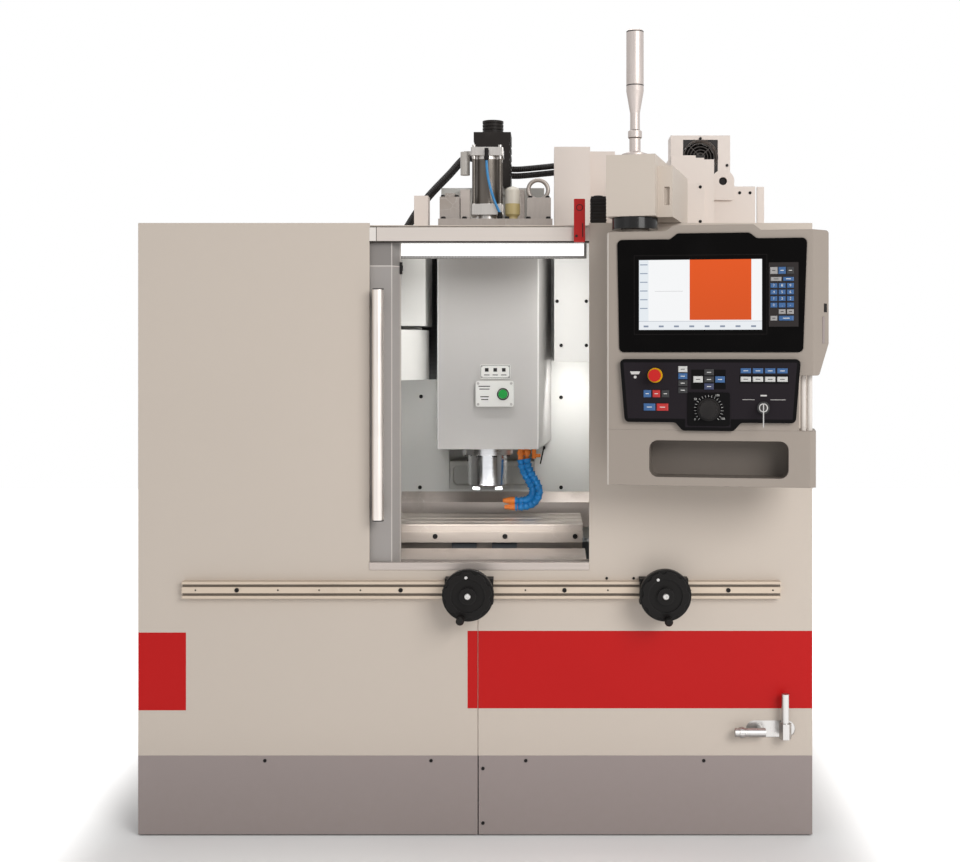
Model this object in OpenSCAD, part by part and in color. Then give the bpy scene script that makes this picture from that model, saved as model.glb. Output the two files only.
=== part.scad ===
// Small vertical machining center with a sliding door, a swivelling console and rail-mounted handwheels.
// Depths named _d are counted back from the outer face of the front panels. Millimetres, +Z up.

/* [Enclosure] */
// Width of the enclosure
encl_w = 2000; // [1900:10:2200]
// Depth of the enclosure, front panels to rear wall
encl_d = 1400; // [1380:10:1600]
// Height of the front panels above the floor
panel_top = 1818; // [1810:1:1840]
// Height of the skirts
skirt_h = 238; // [180:1:280]
// Thickness of all sheet metal
sheet_t = 3; // [2:0.5:4]
// Depth of the folded edges of the front panels
flange_d = 40; // [30:1:50]
// Place of the seam between the front panels
seam_x = 8; // [-40:1:40]
// Gap under the skirts
skirt_gap = 4; // [2:1:20]
// Y place of the front panels' outer face
front_y = -722.4; // [-760:0.1:-700]

/* [Door] */
// Left edge of the door opening
open_l = -314; // [-340:1:-300]
// Right edge of the door opening
open_r = 338; // [330:1:360]
// Height of the lower edge of the sill
sill_z = 789; // [780:1:800]
// Height of the sill strip
sill_h = 22; // [16:1:26]
// Height of the lower edge of the header
header_z = 1760; // [1740:1:1765]
// Height of the header
header_h = 45; // [40:1:50]
// Width of the door across its front
door_w = 676; // [660:1:690]
// Thickness of the door
door_t = 38; // [30:1:40]
// Place of the door's leading edge when open
door_edge_x = -249; // [-255:1:-245]
// How far the bevel of the leading edge runs out
door_bevel = 23; // [10:1:26]
// Width of the door's stiles
stile_w = 66; // [60:1:80]
// Distance from the front panels back to the door
door_d = 18; // [16:1:24]
// Diameter of the handle bar
handle_dia = 34; // [26:1:38]
// Length of the handle bar
handle_len = 684; // [600:1:720]

/* [Rail and handwheels] */
// Length of the tool rail
rail_len = 1766; // [1500:1:1800]
// Centre of the tool rail
rail_x = 19; // [0:1:40]
// Centre height of the tool rail
rail_z = 733; // [720:1:740]
// Height of the tool rail
rail_h = 50; // [40:1:56]
// Thickness of the tool rail
rail_t = 25; // [20:1:30]
// Place of the left handwheel
wheel_l_x = -16; // [-100:1:50]
// Place of the right handwheel
wheel_r_x = 556; // [500:1:600]
// Diameter of the handwheels
wheel_dia = 150; // [120:1:160]
// Rim thickness of the handwheels
wheel_t = 30; // [20:1:36]
// Centre height of the handwheels
wheel_z = 730; // [720:1:740]

/* [Console] */
// Place of the console's swivel axis
pivot_x = 466; // [440:1:480]
// Distance of the swivel axis in front of the panels
pivot_out = 122; // [118:1:130]
// Angle at which the console faces left
console_yaw = 9; // [0:1:14]
// Width of the console's front
console_w = 565; // [550:1:580]
// Height of the console's top edge
console_top = 1771; // [1760:1:1772]
// Height of the lower edge of the screen housing
console_mid = 1371; // [1350:1:1385]
// Height of the console's lower edge
console_low = 1064; // [1040:1:1090]
// Distance from the swivel axis to the console's front
console_front = 112; // [105:1:120]
// Width of the screen glass
screen_w = 338; // [300:1:350]
// Height of the screen glass
screen_h = 194; // [170:1:200]
// Diameter of the swivel puck
puck_dia = 132; // [120:1:140]
// Diameter of the override knob
knob_dia = 62; // [50:1:70]

/* [Base and table] */
// Place of the machine's centre plane
head_x = 10; // [0:1:20]
// Width of the base casting
base_w = 660; // [640:2:700]
// Height of the base casting's top
base_top = 640; // [620:1:650]
// Height of the base casting above the floor
base_z = 45; // [35:1:60]
// Length of the table
table_w = 632; // [620:2:660]
// Depth of the table
table_depth = 300; // [280:2:320]
// Height of the table's top
table_z = 884; // [880:1:890]
// Thickness of the table
table_t = 58; // [54:1:62]
// Depth of the table's centre at rest
table_d = 450; // [440:1:460]
// Width of the T-slots
slot_w = 14; // [12:1:18]
// Distance between the T-slots
slot_pitch = 90; // [80:1:100]
// Diameter of the X and Y ball screws
screw_dia = 32; // [25:1:36]

/* [Column and head] */
// Depth of the column's front face
column_d = 960; // [950:1:980]
// Width of the column
column_w = 380; // [340:2:420]
// Height of the column's top
column_top = 2040; // [2030:1:2080]
// Depth of the spindle axis
spindle_d = 560; // [550:1:570]
// Diameter of the spindle nose
nose_dia = 130; // [120:1:136]
// Height of the spindle nose's end
nose_z = 982; // [975:1:1000]
// Height of the head cover's lower edge
head_z = 1115; // [1110:1:1130]
// Height of the head cover's top
head_top = 1847; // [1840:1:1870]
// Depth of the head cover's front
cover_d = 420; // [410:1:430]
// Width of the head cover's front
cover_w = 332; // [320:2:340]
// How far each side of the cover runs out towards the back
cover_splay = 42; // [30:1:44]
// Diameter of the drawbar cylinder
cylinder_dia = 96; // [80:1:100]

/* [Roof units] */
// Height of the beacon's top
beacon_top = 2360; // [2300:1:2400]
// Diameter of the beacon tube
beacon_dia = 50; // [40:1:60]
// Diameter of the fan
fan_dia = 118; // [100:1:120]
// Diameter of the hole in the lifting lug
lug_hole = 26; // [20:1:30]

/* [Hidden] */
$fn = 48;

// Clearances
running = 0.05;
apart = 0.3;
joint_gap = 0.2;
// Colours
beige = [0.80, 0.78, 0.74];
warm_grey = [0.58, 0.56, 0.55];
cool_grey = [0.62, 0.64, 0.66];
steel = [0.78, 0.79, 0.80];
white = [0.93, 0.93, 0.92];
black = [0.07, 0.07, 0.08];
iron = [0.45, 0.46, 0.47];
red = [0.80, 0.10, 0.10];
orange = [0.90, 0.45, 0.10];
blue = [0.08, 0.35, 0.65];

// Enclosure
half_w = encl_w / 2;
roof_z = panel_top - 2 * sheet_t;
guard_d = 890;
guard_x = 800;
guard_z = 700;
guard_slot = 155;
guard_sill = 936;
// Door tracks
track_lip = 40;
track_top = header_z + header_h;
door_gap = 3;
track_d0 = door_d - door_gap - sheet_t;
track_d1 = door_d + door_t + door_gap + sheet_t;
track_l = -half_w + 10;
sill_floor = 6;
door_z0 = sill_z + sill_floor + apart;
door_z1 = track_top - 10;
door_l = door_edge_x - door_w;
glass_t = 8;
rebate = 12;
handle_x = door_edge_x - stile_w / 2 - 2;
handle_out = 34;
handle_z = 1280;
bracket_len = 34;
bracket_inset = 42;
// Base
base_front = 160;
base_back = 1330;
foot_flange = 60;
foot_dia = 90;
rail_sq = 35;
y_rail_x = 220;
y_screw_z = base_top;
channel_w = 104;
channel_h = 46;
journal_r = 12;
y_bear_front = 262;
y_bear_rear = 905;
bear_t = 24;
bear_half = 40;
// Saddle and table
saddle_z0 = base_top + rail_sq + 15;
saddle_z1 = saddle_z0 + 80;
saddle_depth = 320;
saddle_w = 600;
x_rail_off = 80;
x_rail_w = 28;
x_rail_h = 26;
table_under = table_z - table_t;
x_screw_z = saddle_z1 + 20;
nut_half = 30;
nut_r = 33;
x_bear_x = 272;
x_truck_x = 65;
truck_len = 80;
// Column and head
z_rail_x = 100;
z_screw_d = 930;
z_screw_r = 18;
z_bear_low = 1040;
z_rail_z0 = 1120;
z_truck_zs = [1170, 1470];
head_half = 118;
head_front = 470;
head_back = 880;
z_nut_z = 1340;
z_nut_h = 80;
flange_dia = 172;
housing_dia = 150;
bore_dia = 80;
taper_mouth = 44.45;
taper_end = 25;
taper_len = 68;
key_h = 14;
plate_t = 26;
plate_top = head_top + plate_t;
cyl_low = 1895;
cyl_cap = 36;
cyl_z1 = 2122;
cover_back = head_back - 4;
button_x = 68;
button_z = 1297;
button_r = 14.8;
// Console, in its own frame about the swivel axis
con_l = -68;
con_r = con_l + console_w;
con_flare = 45;
con_shoulder = 62;
con_taper = 88;
con_back = 55;
hump_x = 227;
hump_w = 220;
hump_h = 16;
hump_run = 20;
bezel_t = 10;
bezel_r = 13;
panel_plate_t = 14;
lower_l = -31;
lower_r = 465;
lower_z0 = 1241;
lower_z1 = 1416;
lower_hump_x = 213;
lower_hump_w = 140;
lower_hump_h = 23;
lower_taper = 14;
tray_top = 1219;
tray_r = 506;
tray_edge = 16;
recess_x0 = 50;
recess_x1 = 432;
recess_z0 = 1088;
recess_z1 = 1190;
recess_d = 95;
recess_r = 24;
stem_r = 25;
puck_z0 = console_top + 15;
puck_z1 = panel_top + 1;
port_x = 12.5;
port_z = 1366;
port_r = 4;
estop_x = 68;
estop_z = 1371;
knob_x = 215;
knob_z = 1277;
knob_skirt = 12;
knob_high = 30;
knob_flute = 5;
lock_x = 364;
lock_z = 1283;
panel_face = -console_front - panel_plate_t;
// Roof units
arm_top = 1993;
duct_x0 = 236;
duct_x1 = 359;
duct_d0 = 600;
duct_d1 = guard_d;
duct_low = 1401;
duct_top = column_top + 97;
fan_x = 748;
fan_z = 2116;
fan_d0 = 700;
fan_d1 = 800;
fan_pin = 5;
lug_x = 786;
lug_z = 1992;
box_d = 400;
// Tool changer
drum_x = -466;
drum_d = 525;
drum_r = 280;
drum_z0 = 1343;
drum_z1 = 1507;
drum_wall = 4;
drum_pin = 20;
tool_count = 12;
// Cabinet
cab_x0 = 50;
cab_x1 = 950;
cab_z0 = 300;
cab_z1 = 1780;
cab_d = 360;
cab_back = encl_d + cab_d;
hinge_r = 8;
hinge_pin = 4;
hinge_x = cab_x0 - hinge_r - 1;
hinge_zs = [480, 1560];

// A box from corner to corner, with depths counted back from the front panels
module box(x0, x1, d0, d1, z0, z1) {
    translate([x0, front_y + d0, z0]) cube([x1 - x0, d1 - d0, z1 - z0]);
}
// Round bars along each axis
module post(x, d, z0, z1, r) {
    translate([x, front_y + d, z0]) cylinder(r = r, h = z1 - z0);
}
module bar_x(x0, x1, d, z, r) {
    translate([x0, front_y + d, z]) rotate([0, 90, 0]) cylinder(r = r, h = x1 - x0);
}
module bar_y(x, d0, d1, z, r) {
    translate([x, front_y + d0, z]) rotate([-90, 0, 0]) cylinder(r = r, h = d1 - d0);
}
// A profile of depth and height, drawn along X
module along_x(x0, x1) {
    translate([x0, front_y, 0]) rotate([90, 0, 90]) linear_extrude(x1 - x0) children();
}
// A rounded rectangle made of true arcs
module rounded(w, h, r) {
    square([w - 2 * r, h], center = true);
    square([w, h - 2 * r], center = true);
    for (sx = [-1, 1], sz = [-1, 1]) translate([sx * (w / 2 - r), sz * (h / 2 - r)]) circle(r = r);
}
// A rounded upright plate, from depth d0 to d1, centred on x and z
module plate(x, z, w, h, r, d0, d1) {
    translate([x, front_y + d1, z]) rotate([90, 0, 0]) linear_extrude(d1 - d0) rounded(w, h, r);
}
// An outline with each corner rounded by four flats, r being one radius for each corner
function corner(a, b, c, r) = r == 0 ? [b] : let(u = unit(a - b), v = unit(c - b), half = acos(u * v) / 2,
    p = b + u * r / tan(half), q = b + v * r / tan(half), m = b + unit(u + v) * r / sin(half))
    [for (i = [0:4]) m + r * unit(p + (q - p) * i / 4 - m)];
function eased(p, r) = let(n = len(p))
    [for (i = [0:n - 1]) each corner(p[(i + n - 1) % n], p[i], p[(i + 1) % n], is_list(r) ? r[i] : r)];
// The console's own frame: x along its front, y back from the swivel axis
module on_console() {
    translate([pivot_x, front_y - pivot_out, 0]) rotate([0, 0, -console_yaw]) children();
}
module con_box(x0, x1, y0, y1, z0, z1) {
    translate([x0, y0, z0]) cube([x1 - x0, y1 - y0, z1 - z0]);
}
module con_plate(x, z, w, h, r, y0, y1) {
    translate([x, y1, z]) rotate([90, 0, 0]) linear_extrude(y1 - y0) rounded(w, h, r);
}
module con_bar(x, y0, y1, z, r) {
    translate([x, y0, z]) rotate([-90, 0, 0]) cylinder(r = r, h = y1 - y0);
}
// A round tube swept along points, with eight sides
function unit(v) = v / norm(v);
function heading(p, i) = unit(p[min(i + 1, len(p) - 1)] - p[max(i - 1, 0)]);
function ring(p, i, r, side) = let(t = heading(p, i), a = unit(cross(t, side)), b = cross(a, t))
    [for (k = [0:7]) p[i] + r * (cos(45 * k) * a + sin(45 * k) * b)];
module tube(p, r, side) {
    n = len(p);
    points = [for (i = [0:n - 1]) each ring(p, i, r, side)];
    walls = [for (i = [0:n - 2], k = [0:7])
        [8 * i + k, 8 * i + (k + 1) % 8, 8 * i + 8 + (k + 1) % 8, 8 * i + 8 + k]];
    ends = [[for (k = [0:7]) 7 - k], [for (k = [0:7]) 8 * (n - 1) + k]];
    polyhedron(points, concat(walls, ends), convexity = 4);
}
// A smooth path through three hand-set points
function bend(a, b, c, n) = [for (i = [0:n]) let(t = i / n)
    (1 - t) * (1 - t) * a + 2 * t * (1 - t) * b + t * t * c];

// Base, ways and drives
module base_casting() color(iron) difference() {
    x0 = head_x - base_w / 2;
    x1 = head_x + base_w / 2;
    union() {
        box(x0, x1, base_front, base_back, base_z, base_top);
        box(x0 - foot_flange, x1 + foot_flange, base_front, base_back, base_z, base_z + 70);
        for (d = [y_bear_front, y_bear_rear])
            box(head_x - bear_half, head_x + bear_half, d, d + bear_t, base_top, base_top + bear_half);
    }
    box(head_x - channel_w / 2, head_x + channel_w / 2, base_front + 8, y_bear_front,
        base_top - channel_h, base_top + 1);
    box(head_x - channel_w / 2, head_x + channel_w / 2, y_bear_front + bear_t, y_bear_rear,
        base_top - channel_h, base_top + 1);
    bar_y(head_x, y_bear_front - 1, y_bear_rear + bear_t, y_screw_z, journal_r + running);
    for (side = [x0 - 1, x1 - 50 + 1], i = [0:3])
        box(side, side + 50, base_front + 90 + 270 * i, base_front + 290 + 270 * i, base_z + 130,
            base_top - 110);
}
foot_ds = [base_front + 80, (base_front + base_back) / 2, base_back - 80];
module levelling_feet() color(iron) for (sx = [-1, 1], d = foot_ds) {
    x = head_x + sx * (base_w / 2 + foot_flange / 2);
    translate([x, front_y + d, 0]) rotate_extrude()
        polygon([[0, 0], [foot_dia / 2, 0], [foot_dia / 2, 10], [16, 22], [16, base_z], [0, base_z]]);
}
module guide_rails() color(steel) {
    for (sx = [-1, 1]) {
        x = head_x + sx * y_rail_x;
        box(x - rail_sq / 2, x + rail_sq / 2, base_front + 10, column_d - 10, base_top, base_top + rail_sq);
    }
    for (sx = [-1, 1]) {
        x = head_x + sx * z_rail_x;
        box(x - rail_sq / 2, x + rail_sq / 2, column_d - rail_sq, column_d, z_rail_z0, column_top - 10);
    }
}
motor_half = 68;
motor_z1 = column_top + 200;
cap_r = 39;
module axis_motors() color(black) {
    difference() {
        union() {
            box(head_x - motor_half, head_x + motor_half, z_screw_d - 14, z_screw_d + 2 * motor_half - 14,
                column_top, motor_z1);
            post(head_x, z_screw_d + motor_half - 14, motor_z1, motor_z1 + 50, cap_r);
        }
        for (k = [0:2]) translate([head_x, front_y + z_screw_d + motor_half - 14, motor_z1 + 12 + 12 * k])
            difference() {
                cylinder(r = cap_r + 1, h = 5);
                cylinder(r = cap_r - 4, h = 5);
            }
        for (sx = [-1, 1], k = [0:4])
            box(head_x + sx * motor_half - 4, head_x + sx * motor_half + 4, z_screw_d - 15,
                z_screw_d + 2 * motor_half, column_top + 40 + 28 * k, column_top + 52 + 28 * k);
    }
    box(head_x - bear_half, head_x + bear_half, base_front + 14, y_bear_front, base_top - channel_h,
        base_top + bear_half);
}
// The column, with its screw channel and the two cored pockets in its lower boss
pocket_off = 78;
pocket_z = 984;
pocket_w = 128;
pocket_h = 72;
pocket_r = 20;
pocket_d = 40;
module column() color(white) difference() {
    union() {
        box(head_x - column_w / 2, head_x + column_w / 2, column_d, base_back, base_top, column_top);
        box(head_x - bear_half, head_x + bear_half, z_screw_d - bear_half + 12, column_d,
            z_bear_low, z_bear_low + bear_t);
        box(head_x - bear_half, head_x + bear_half, z_screw_d - bear_half + 12, column_d,
            column_top - bear_t, column_top);
        box(head_x - guard_slot + 2, head_x + guard_slot - 2, guard_d, column_d,
            guard_sill + 1, z_bear_low - 4);
    }
    box(head_x - 56, head_x + 56, column_d - 1, column_d + 30, z_bear_low + bear_t, column_top - bear_t);
    post(head_x, z_screw_d, z_bear_low - 1, column_top + 1, journal_r + running);
    for (sx = [-1, 1])
        plate(head_x + sx * pocket_off, pocket_z, pocket_w, pocket_h, pocket_r,
            guard_d - 1, guard_d + pocket_d);
}
// The pan round the base, the apron from the sill up to the table, and the deflector at the guard's foot
apron_d1 = 250;
apron_rise = 9;
apron_z = sill_z + sill_h - 5;
apron_x0 = open_l + 6;
apron_x1 = open_r - 6;
deflector_d = guard_d - 30;
deflector_z1 = guard_sill - 10;
deflector_bend = deflector_z1 - 36;
deflector_z0 = deflector_z1 - 126;
module chip_pan() color(steel) {
    x0 = head_x - base_w / 2;
    x1 = head_x + base_w / 2;
    z0 = 560;
    difference() {
        box(-guard_x, guard_x, track_d1 - sheet_t, guard_d + sheet_t, z0, guard_z);
        box(-guard_x + sheet_t, guard_x - sheet_t, track_d1, guard_d, z0 + sheet_t, guard_z + 1);
        box(x0, x1, base_front, guard_d + sheet_t + 1, z0 - 1, guard_z + 1);
    }
    box(-guard_x, guard_x, track_d1 - sheet_t, track_d1, guard_z, sill_z);
    for (x = [x0 - sheet_t, x1]) box(x, x + sheet_t, base_front, guard_d, z0, base_top);
    box(x0 - sheet_t, x1 + sheet_t, base_front - sheet_t, base_front, z0, base_top);
    box(apron_x0, apron_x1, track_d1, track_d1 + sheet_t, sill_z - 10, apron_z);
    along_x(apron_x0, apron_x1) polygon([[track_d1, apron_z - sheet_t],
        [apron_d1, apron_z + apron_rise - sheet_t], [apron_d1, apron_z + apron_rise], [track_d1, apron_z]]);
    along_x(x0 + 2, x1 + foot_flange + 20) polygon([[guard_d, deflector_z1], [deflector_d, deflector_bend],
        [deflector_d, deflector_z0], [deflector_d + sheet_t, deflector_z0],
        [deflector_d + sheet_t, deflector_bend - 1], [guard_d, deflector_z1 - sheet_t - 1]]);
}

// Enclosure
module left_panel() color(beige) {
    box(-half_w, open_l, 0, sheet_t, skirt_h, panel_top);
    box(open_l, seam_x - 1, 0, sheet_t, skirt_h, sill_z);
    box(-half_w, -half_w + sheet_t, sheet_t, flange_d, skirt_h, panel_top);
    box(-half_w + sheet_t, open_l, sheet_t, track_d0, panel_top - sheet_t, panel_top);
    box(open_l - sheet_t, open_l, sheet_t, track_d0 - 1, sill_z + sill_h, panel_top - sheet_t);
    box(open_l, seam_x, sheet_t, flange_d, sill_z - sheet_t, sill_z);
    box(seam_x - sheet_t, seam_x, sheet_t, flange_d, skirt_h, sill_z - sheet_t);
}
slot_x = half_w - 124;
slot_z = 317;
slot_len = 146;
slot_h = 50;
slot_mid = (slot_len - slot_h) / 2;
module right_panel() color(beige) difference() {
    union() {
        box(open_r, half_w, 0, sheet_t, skirt_h, panel_top);
        box(seam_x + 1, open_r, 0, sheet_t, skirt_h, sill_z);
        box(half_w - sheet_t, half_w, sheet_t, flange_d, skirt_h, panel_top);
        box(open_r, half_w - sheet_t, sheet_t, track_d0, panel_top - sheet_t, panel_top);
        box(open_r, open_r + sheet_t, sheet_t, track_d0 - 1, sill_z + sill_h, panel_top - sheet_t);
        box(seam_x, open_r, sheet_t, flange_d, sill_z - sheet_t, sill_z);
        box(seam_x, seam_x + sheet_t, sheet_t, flange_d, skirt_h, sill_z - sheet_t);
    }
    box(slot_x - slot_mid, slot_x + slot_mid, -1, sheet_t + 1, slot_z - slot_h / 2, slot_z + slot_h / 2);
    for (sx = [-1, 1]) bar_y(slot_x + sx * slot_mid, -1, sheet_t + 1, slot_z, slot_h / 2);
}
module skirts() color(warm_grey) {
    box(-half_w, seam_x - 1, 0, sheet_t, skirt_gap, skirt_h);
    box(-half_w, -half_w + sheet_t, sheet_t + joint_gap, encl_d - sheet_t - joint_gap, skirt_gap, skirt_h);
    box(seam_x + 2, half_w, 0, sheet_t, skirt_gap, skirt_h);
    box(half_w - sheet_t, half_w, sheet_t + joint_gap, encl_d - sheet_t - joint_gap, skirt_gap, skirt_h);
}
module enclosure_walls() color(beige) {
    box(-half_w, -half_w + sheet_t, flange_d, encl_d - sheet_t - joint_gap, skirt_h, roof_z);
    box(half_w - sheet_t, half_w, flange_d, encl_d - sheet_t - joint_gap, skirt_h, roof_z);
    box(-half_w, half_w, encl_d - sheet_t, encl_d, skirt_gap, roof_z);
}
cover_mid = head_x + 8;
roof_hole_l = cover_mid - cover_w / 2 - cover_splay - 14;
module roof_panel() color(beige) difference() {
    box(-half_w + sheet_t, half_w - sheet_t, flange_d, encl_d, roof_z, roof_z + sheet_t);
    box(roof_hole_l, duct_x1, cover_d - 15, duct_d1, roof_z - 1, roof_z + sheet_t + 1);
    box(head_x - column_w / 2 - 4, head_x + column_w / 2 + 4, duct_d1 - 1, base_back + 4, roof_z - 1,
        roof_z + sheet_t + 1);
}
// Header and sill, each a channel that the door runs in
module door_tracks() color(cool_grey) {
    box(open_l, open_r, 0, track_d0, header_z, track_top);
    for (d = [track_d0, track_d1 - sheet_t])
        box(track_l, open_r + 30, d, d + sheet_t, track_top - track_lip - sheet_t, track_top);
    box(track_l, open_r + 30, track_d0, track_d1, track_top - sheet_t, track_top);
    box(open_l, open_r, -sheet_t, track_d0, sill_z, sill_z + sill_h);
    for (d = [track_d0, track_d1 - sheet_t])
        box(track_l, open_r + 30, d, d + sheet_t, sill_z, sill_z + sill_h);
    box(track_l, open_r + 30, track_d0, track_d1, sill_z, sill_z + sill_floor);
}
module work_light() color(white) {
    box(open_l + 65, open_r - 6, track_d1, track_d1 + 30, header_z - 42, header_z + 8);
}
module back_guard() color(white) difference() {
    union() {
        box(-guard_x, guard_x, guard_d, guard_d + sheet_t, guard_z, roof_z);
        for (x = [-guard_x, guard_x - sheet_t]) box(x, x + sheet_t, track_d1 + 3, guard_d, guard_z, roof_z);
    }
    box(head_x - guard_slot, head_x + guard_slot, guard_d - 1, guard_d + sheet_t + 1, guard_sill, roof_z + 1);
}

// Tool rail and its handwheels
groove_h = 8;
groove_z = 13;
module tool_rail() color(cool_grey) difference() {
    box(rail_x - rail_len / 2, rail_x + rail_len / 2, -rail_t, 0, rail_z - rail_h / 2, rail_z + rail_h / 2);
    for (sz = [-1, 1])
        box(rail_x - rail_len / 2 - 1, rail_x + rail_len / 2 + 1, -rail_t - 1, -rail_t + 9,
            rail_z + sz * groove_z - groove_h / 2, rail_z + sz * groove_z + groove_h / 2);
}
rail_screw_pitch = 483;
module fasteners() color(black) {
    for (i = [-1.5:1:1.5]) bar_y(rail_x + i * rail_screw_pitch + 4, -rail_t - 5, -rail_t, rail_z, 6.5);
    for (x = [-624, -131, 150, 678]) bar_y(x, -3, 0, skirt_h - 15, 5);
    for (z = [38, 200]) bar_y(seam_x + 15, -3, 0, z, 5);
    for (x = [390, 470]) bar_y(x, -3, 0, rail_z + rail_h / 2 + 6, 4);
}
carriage_w = 142;
lip_clear = 4;
axle_r = 10;
wheel_back = 74;
module carriage(x) color(black) {
    top = rail_z + rail_h / 2 + apart;
    low = rail_z - rail_h / 2 - apart;
    box(x - carriage_w / 2, x + carriage_w / 2, -rail_t - 25, -rail_t - 6, low - 12, top + 12);
    box(x - carriage_w / 2, x + carriage_w / 2, -rail_t - 6, -lip_clear, top, top + 12);
    box(x - carriage_w / 2, x + carriage_w / 2, -rail_t - 6, -lip_clear, low - 12, low);
    bar_y(x, -wheel_back + apart, -rail_t - 25, wheel_z, 26);
    bar_y(x, -wheel_back - wheel_t - 4, -wheel_back + apart, wheel_z, axle_r);
}
scallops = 9;
scallop_r = 15;
grip_r = 11;
rim_step = 8;
face_in = 6;
hub_r = 24;
module handwheel(x, turn) color(black) translate([x, front_y - wheel_back, wheel_z]) rotate([90, 0, 0])
    rotate([0, 0, turn]) difference() {
        face_r = wheel_dia / 2 - face_in;
        union() {
            cylinder(r = wheel_dia / 2, h = wheel_t - rim_step);
            translate([0, 0, 2]) difference() {
                cylinder(r = face_r, h = wheel_t - 2);
                for (k = [0:scallops - 1]) rotate([0, 0, (k + 0.5) * 360 / scallops])
                    translate([face_r + 9, 0, -1]) cylinder(r = scallop_r, h = wheel_t);
            }
            cylinder(r = hub_r, h = wheel_t + 8);
            translate([wheel_dia / 2 - 7, 0, wheel_t - rim_step - 2]) rotate_extrude()
                polygon([[0, 0], [7, 0], [6, 10], [grip_r, 20], [grip_r + 1, 48], [grip_r - 3, 54], [0, 54]]);
        }
        translate([0, 0, -1]) cylinder(r = axle_r + running, h = wheel_t + 5.3);
        translate([0, 0, wheel_t - 6]) difference() {
            cylinder(r = wheel_dia / 2 - 26, h = 7);
            cylinder(r = hub_r, h = 7);
        }
    }
module left_carriage() carriage(wheel_l_x);
module right_carriage() carriage(wheel_r_x);
module left_handwheel() handwheel(wheel_l_x, -107);
module right_handwheel() handwheel(wheel_r_x, -85);

// Sliding door
module door_frame() color(cool_grey) difference() {
    union() {
        box(door_l, door_edge_x, door_d, door_d + door_t, door_z0, door_z1);
        translate([door_edge_x, front_y + door_d, door_z0]) linear_extrude(door_z1 - door_z0)
            polygon([[-1, 0], [0, 0], [door_bevel, door_t], [-1, door_t]]);
    }
    box(door_l + stile_w, door_edge_x - stile_w, door_d - 1, door_d + door_t + 1,
        door_z0 + 140, door_z1 - 140);
    box(door_l + stile_w - rebate, door_edge_x - stile_w + rebate, door_d + door_t - glass_t - 6,
        door_d + door_t - 6, door_z0 + 140 - rebate, door_z1 - 140 + rebate);
}
module door_window() color([0.75, 0.85, 0.85, 0.35])
    box(door_l + stile_w - rebate, door_edge_x - stile_w + rebate, door_d + door_t - glass_t - 6,
        door_d + door_t - 6, door_z0 + 140 - rebate, door_z1 - 140 + rebate);
module door_handle() {
    z0 = handle_z - handle_len / 2;
    z1 = handle_z + handle_len / 2;
    color(steel) post(handle_x, -handle_out, z0, z1, handle_dia / 2);
    color(black) for (z = [z0 + bracket_inset, z1 - bracket_inset])
        box(handle_x - 10, handle_x + 10, -handle_out, door_d, z - bracket_len / 2, z + bracket_len / 2);
}
module interlock_switch() color(red) {
    plate(open_r - 29, 1824, 33, 128, 3, -16, 0);
}

// Saddle, with the trucks for both axes, the screw bearings and the X motor
module saddle() color(iron) difference() {
    d0 = table_d - saddle_depth / 2;
    d1 = table_d + saddle_depth / 2;
    union() {
        box(head_x - saddle_w / 2, head_x + saddle_w / 2, d0, d1, saddle_z0, saddle_z1);
        for (sx = [-1, 1], d = [d0 + 50, d1 - 50]) {
            x = head_x + sx * y_rail_x;
            box(x - 40, x + 40, d - 45, d + 45, base_top + 12, saddle_z0);
        }
        for (sx = [-1, 1], sy = [-1, 1])
            box(head_x + sx * x_truck_x - truck_len / 2, head_x + sx * x_truck_x + truck_len / 2,
                table_d + sy * x_rail_off - 32, table_d + sy * x_rail_off + 32, saddle_z1, table_under - 8);
        for (x = [-x_bear_x - bear_t / 2, x_bear_x - bear_t / 2])
            box(head_x + x, head_x + x + bear_t, table_d - 36, table_d + 36, saddle_z1, x_screw_z + 20);
        box(head_x + saddle_w / 2, head_x + saddle_w / 2 + 110, table_d - 44, table_d + 44,
            x_screw_z - 56, x_screw_z + 22);
        box(head_x - 50, head_x + 50, table_d - nut_half, table_d + nut_half, y_screw_z - 36, saddle_z0);
    }
    for (sx = [-1, 1]) {
        x = head_x + sx * y_rail_x;
        box(x - rail_sq / 2 - apart, x + rail_sq / 2 + apart, d0 - 1, d1 + 1,
            base_top, base_top + rail_sq + apart);
    }
    for (sy = [-1, 1])
        box(head_x - saddle_w, head_x + saddle_w, table_d + sy * x_rail_off - x_rail_w / 2 - apart,
            table_d + sy * x_rail_off + x_rail_w / 2 + apart, table_under - x_rail_h - apart, table_under);
    box(head_x - x_bear_x + bear_t / 2, head_x + x_bear_x - bear_t / 2, table_d - 42, table_d + 42,
        saddle_z1 - 20, saddle_z1 + 1);
    bar_x(head_x - saddle_w / 2 - 1, head_x + x_bear_x + bear_t / 2, table_d, x_screw_z, journal_r + running);
    bar_y(head_x, d0, d1, y_screw_z, screw_dia / 2 + running);
}
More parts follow.
